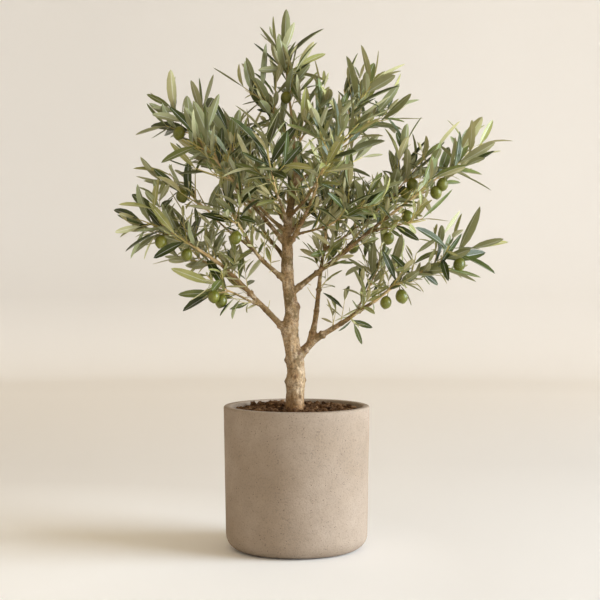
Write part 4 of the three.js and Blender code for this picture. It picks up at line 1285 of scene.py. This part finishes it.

# ---------------------------------------------------------------- floor, light and camera
# A wide pale floor that curves up into a plain wall all round, both with painted light and shade,
# a large soft lamp to the right and in front, a warm even fill from above, and a camera a little
# above the pot's rim.

FLOOR_RADIUS = 3.1
FLOOR_DROP = 0.0003
WALL_RADIUS = 3.7
WALL_HEIGHT = 2.9
CURVE_STEPS = 12
KEY_PLACE = (3.0, -0.8, 1.05)
KEY_TARGET = (0, 0, 0.35)


def floor_material():
    """Painted light and shade that even out the lamp: painted shade making the floor greyer to the right,
    a painted pool of light beside the pot on its left where its shadow falls, painted light on the
    far floor, and a wall with painted shade on its left and painted light on its right.
    """
    look = Look("studio_floor", 0.9, specular=0.1)
    across, depth, height = look.axis("X"), look.axis("Y"), look.axis("Z")
    # Painted shade: greyer to the right, where the lamp lights the floor most.
    color = look.mix(look.fade(across, 0.1, 0.6), tint(230, 226, 220), tint(221, 217, 211))
    # A painted pool of light beside the pot on its left, where the pot's shadow falls.
    painted_pool_distance = look.node("VectorMath", {0: look.place, 1: (-0.5, -0.1, 0.0)}, "Value", operation="DISTANCE")
    color = look.mix(look.fade(painted_pool_distance, 0.25, 0.75, 1.0, 0.0), color, tint(251, 249, 245))
    # Painted light on the far floor, where the lamp's light falls off.
    color = look.mix(look.fade(depth, 0.9, 2.5), color, tint(245, 241, 235))
    # The wall: painted shade on its left and painted light on its right.
    wall = look.mix(look.fade(across, -0.8, 0.8), tint(222, 217, 210), tint(235, 230, 223))
    return look.finish(look.mix(look.fade(height, 0.02, 0.3), color, wall))


rounding = WALL_RADIUS - FLOOR_RADIUS
profile = [(0.0, 0.0), (FLOOR_RADIUS, 0.0)]
for step in range(1, CURVE_STEPS + 1):
    angle = math.pi / 2 * step / CURVE_STEPS
    profile.append((FLOOR_RADIUS + rounding * math.sin(angle), rounding * (1 - math.cos(angle))))
profile.append((WALL_RADIUS, WALL_HEIGHT))
data = bpy.data.meshes.new("floor")
data.from_pydata([(x, 0, z - FLOOR_DROP) for x, z in profile],
                 [(n, n + 1) for n in range(len(profile) - 1)], [])
floor = add_object("floor", data)
apply_modifier(floor, "SCREW", steps=96, render_steps=96, use_merge_vertices=True,
               use_smooth_shade=True)
floor.data.materials.append(floor_material())
floor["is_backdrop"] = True

data = bpy.data.lights.new("key", "AREA")
data.shape = "DISK"
data.size = 2.6
data.energy = 215
data.color = (0.774, 0.874, 1.0)
key = add_object("key", data)
key.location = KEY_PLACE
key.rotation_euler = (Vector(KEY_TARGET) - Vector(KEY_PLACE)).to_track_quat("-Z", "Y").to_euler()

world = bpy.context.scene.world or bpy.data.worlds.new("studio")
bpy.context.scene.world = world
world.use_nodes = True
background = world.node_tree.nodes["Background"]
background.inputs["Color"].default_value = (1.0, 0.81, 0.546, 1.0)
background.inputs["Strength"].default_value = 0.592
bpy.context.scene.view_settings.view_transform = "Standard"

camera = add_object("camera", bpy.data.cameras.new("camera"))
camera.data.lens = 85
camera.data.sensor_width = 36
camera.location = (0.005, -2.132, 0.428)
camera.rotation_euler = (math.radians(90 - 1.46), 0, 0)
bpy.context.scene.camera = camera

low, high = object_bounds()
{"cad": [list(cad_low), list(cad_high)], "visual": [list(low), list(high)]}
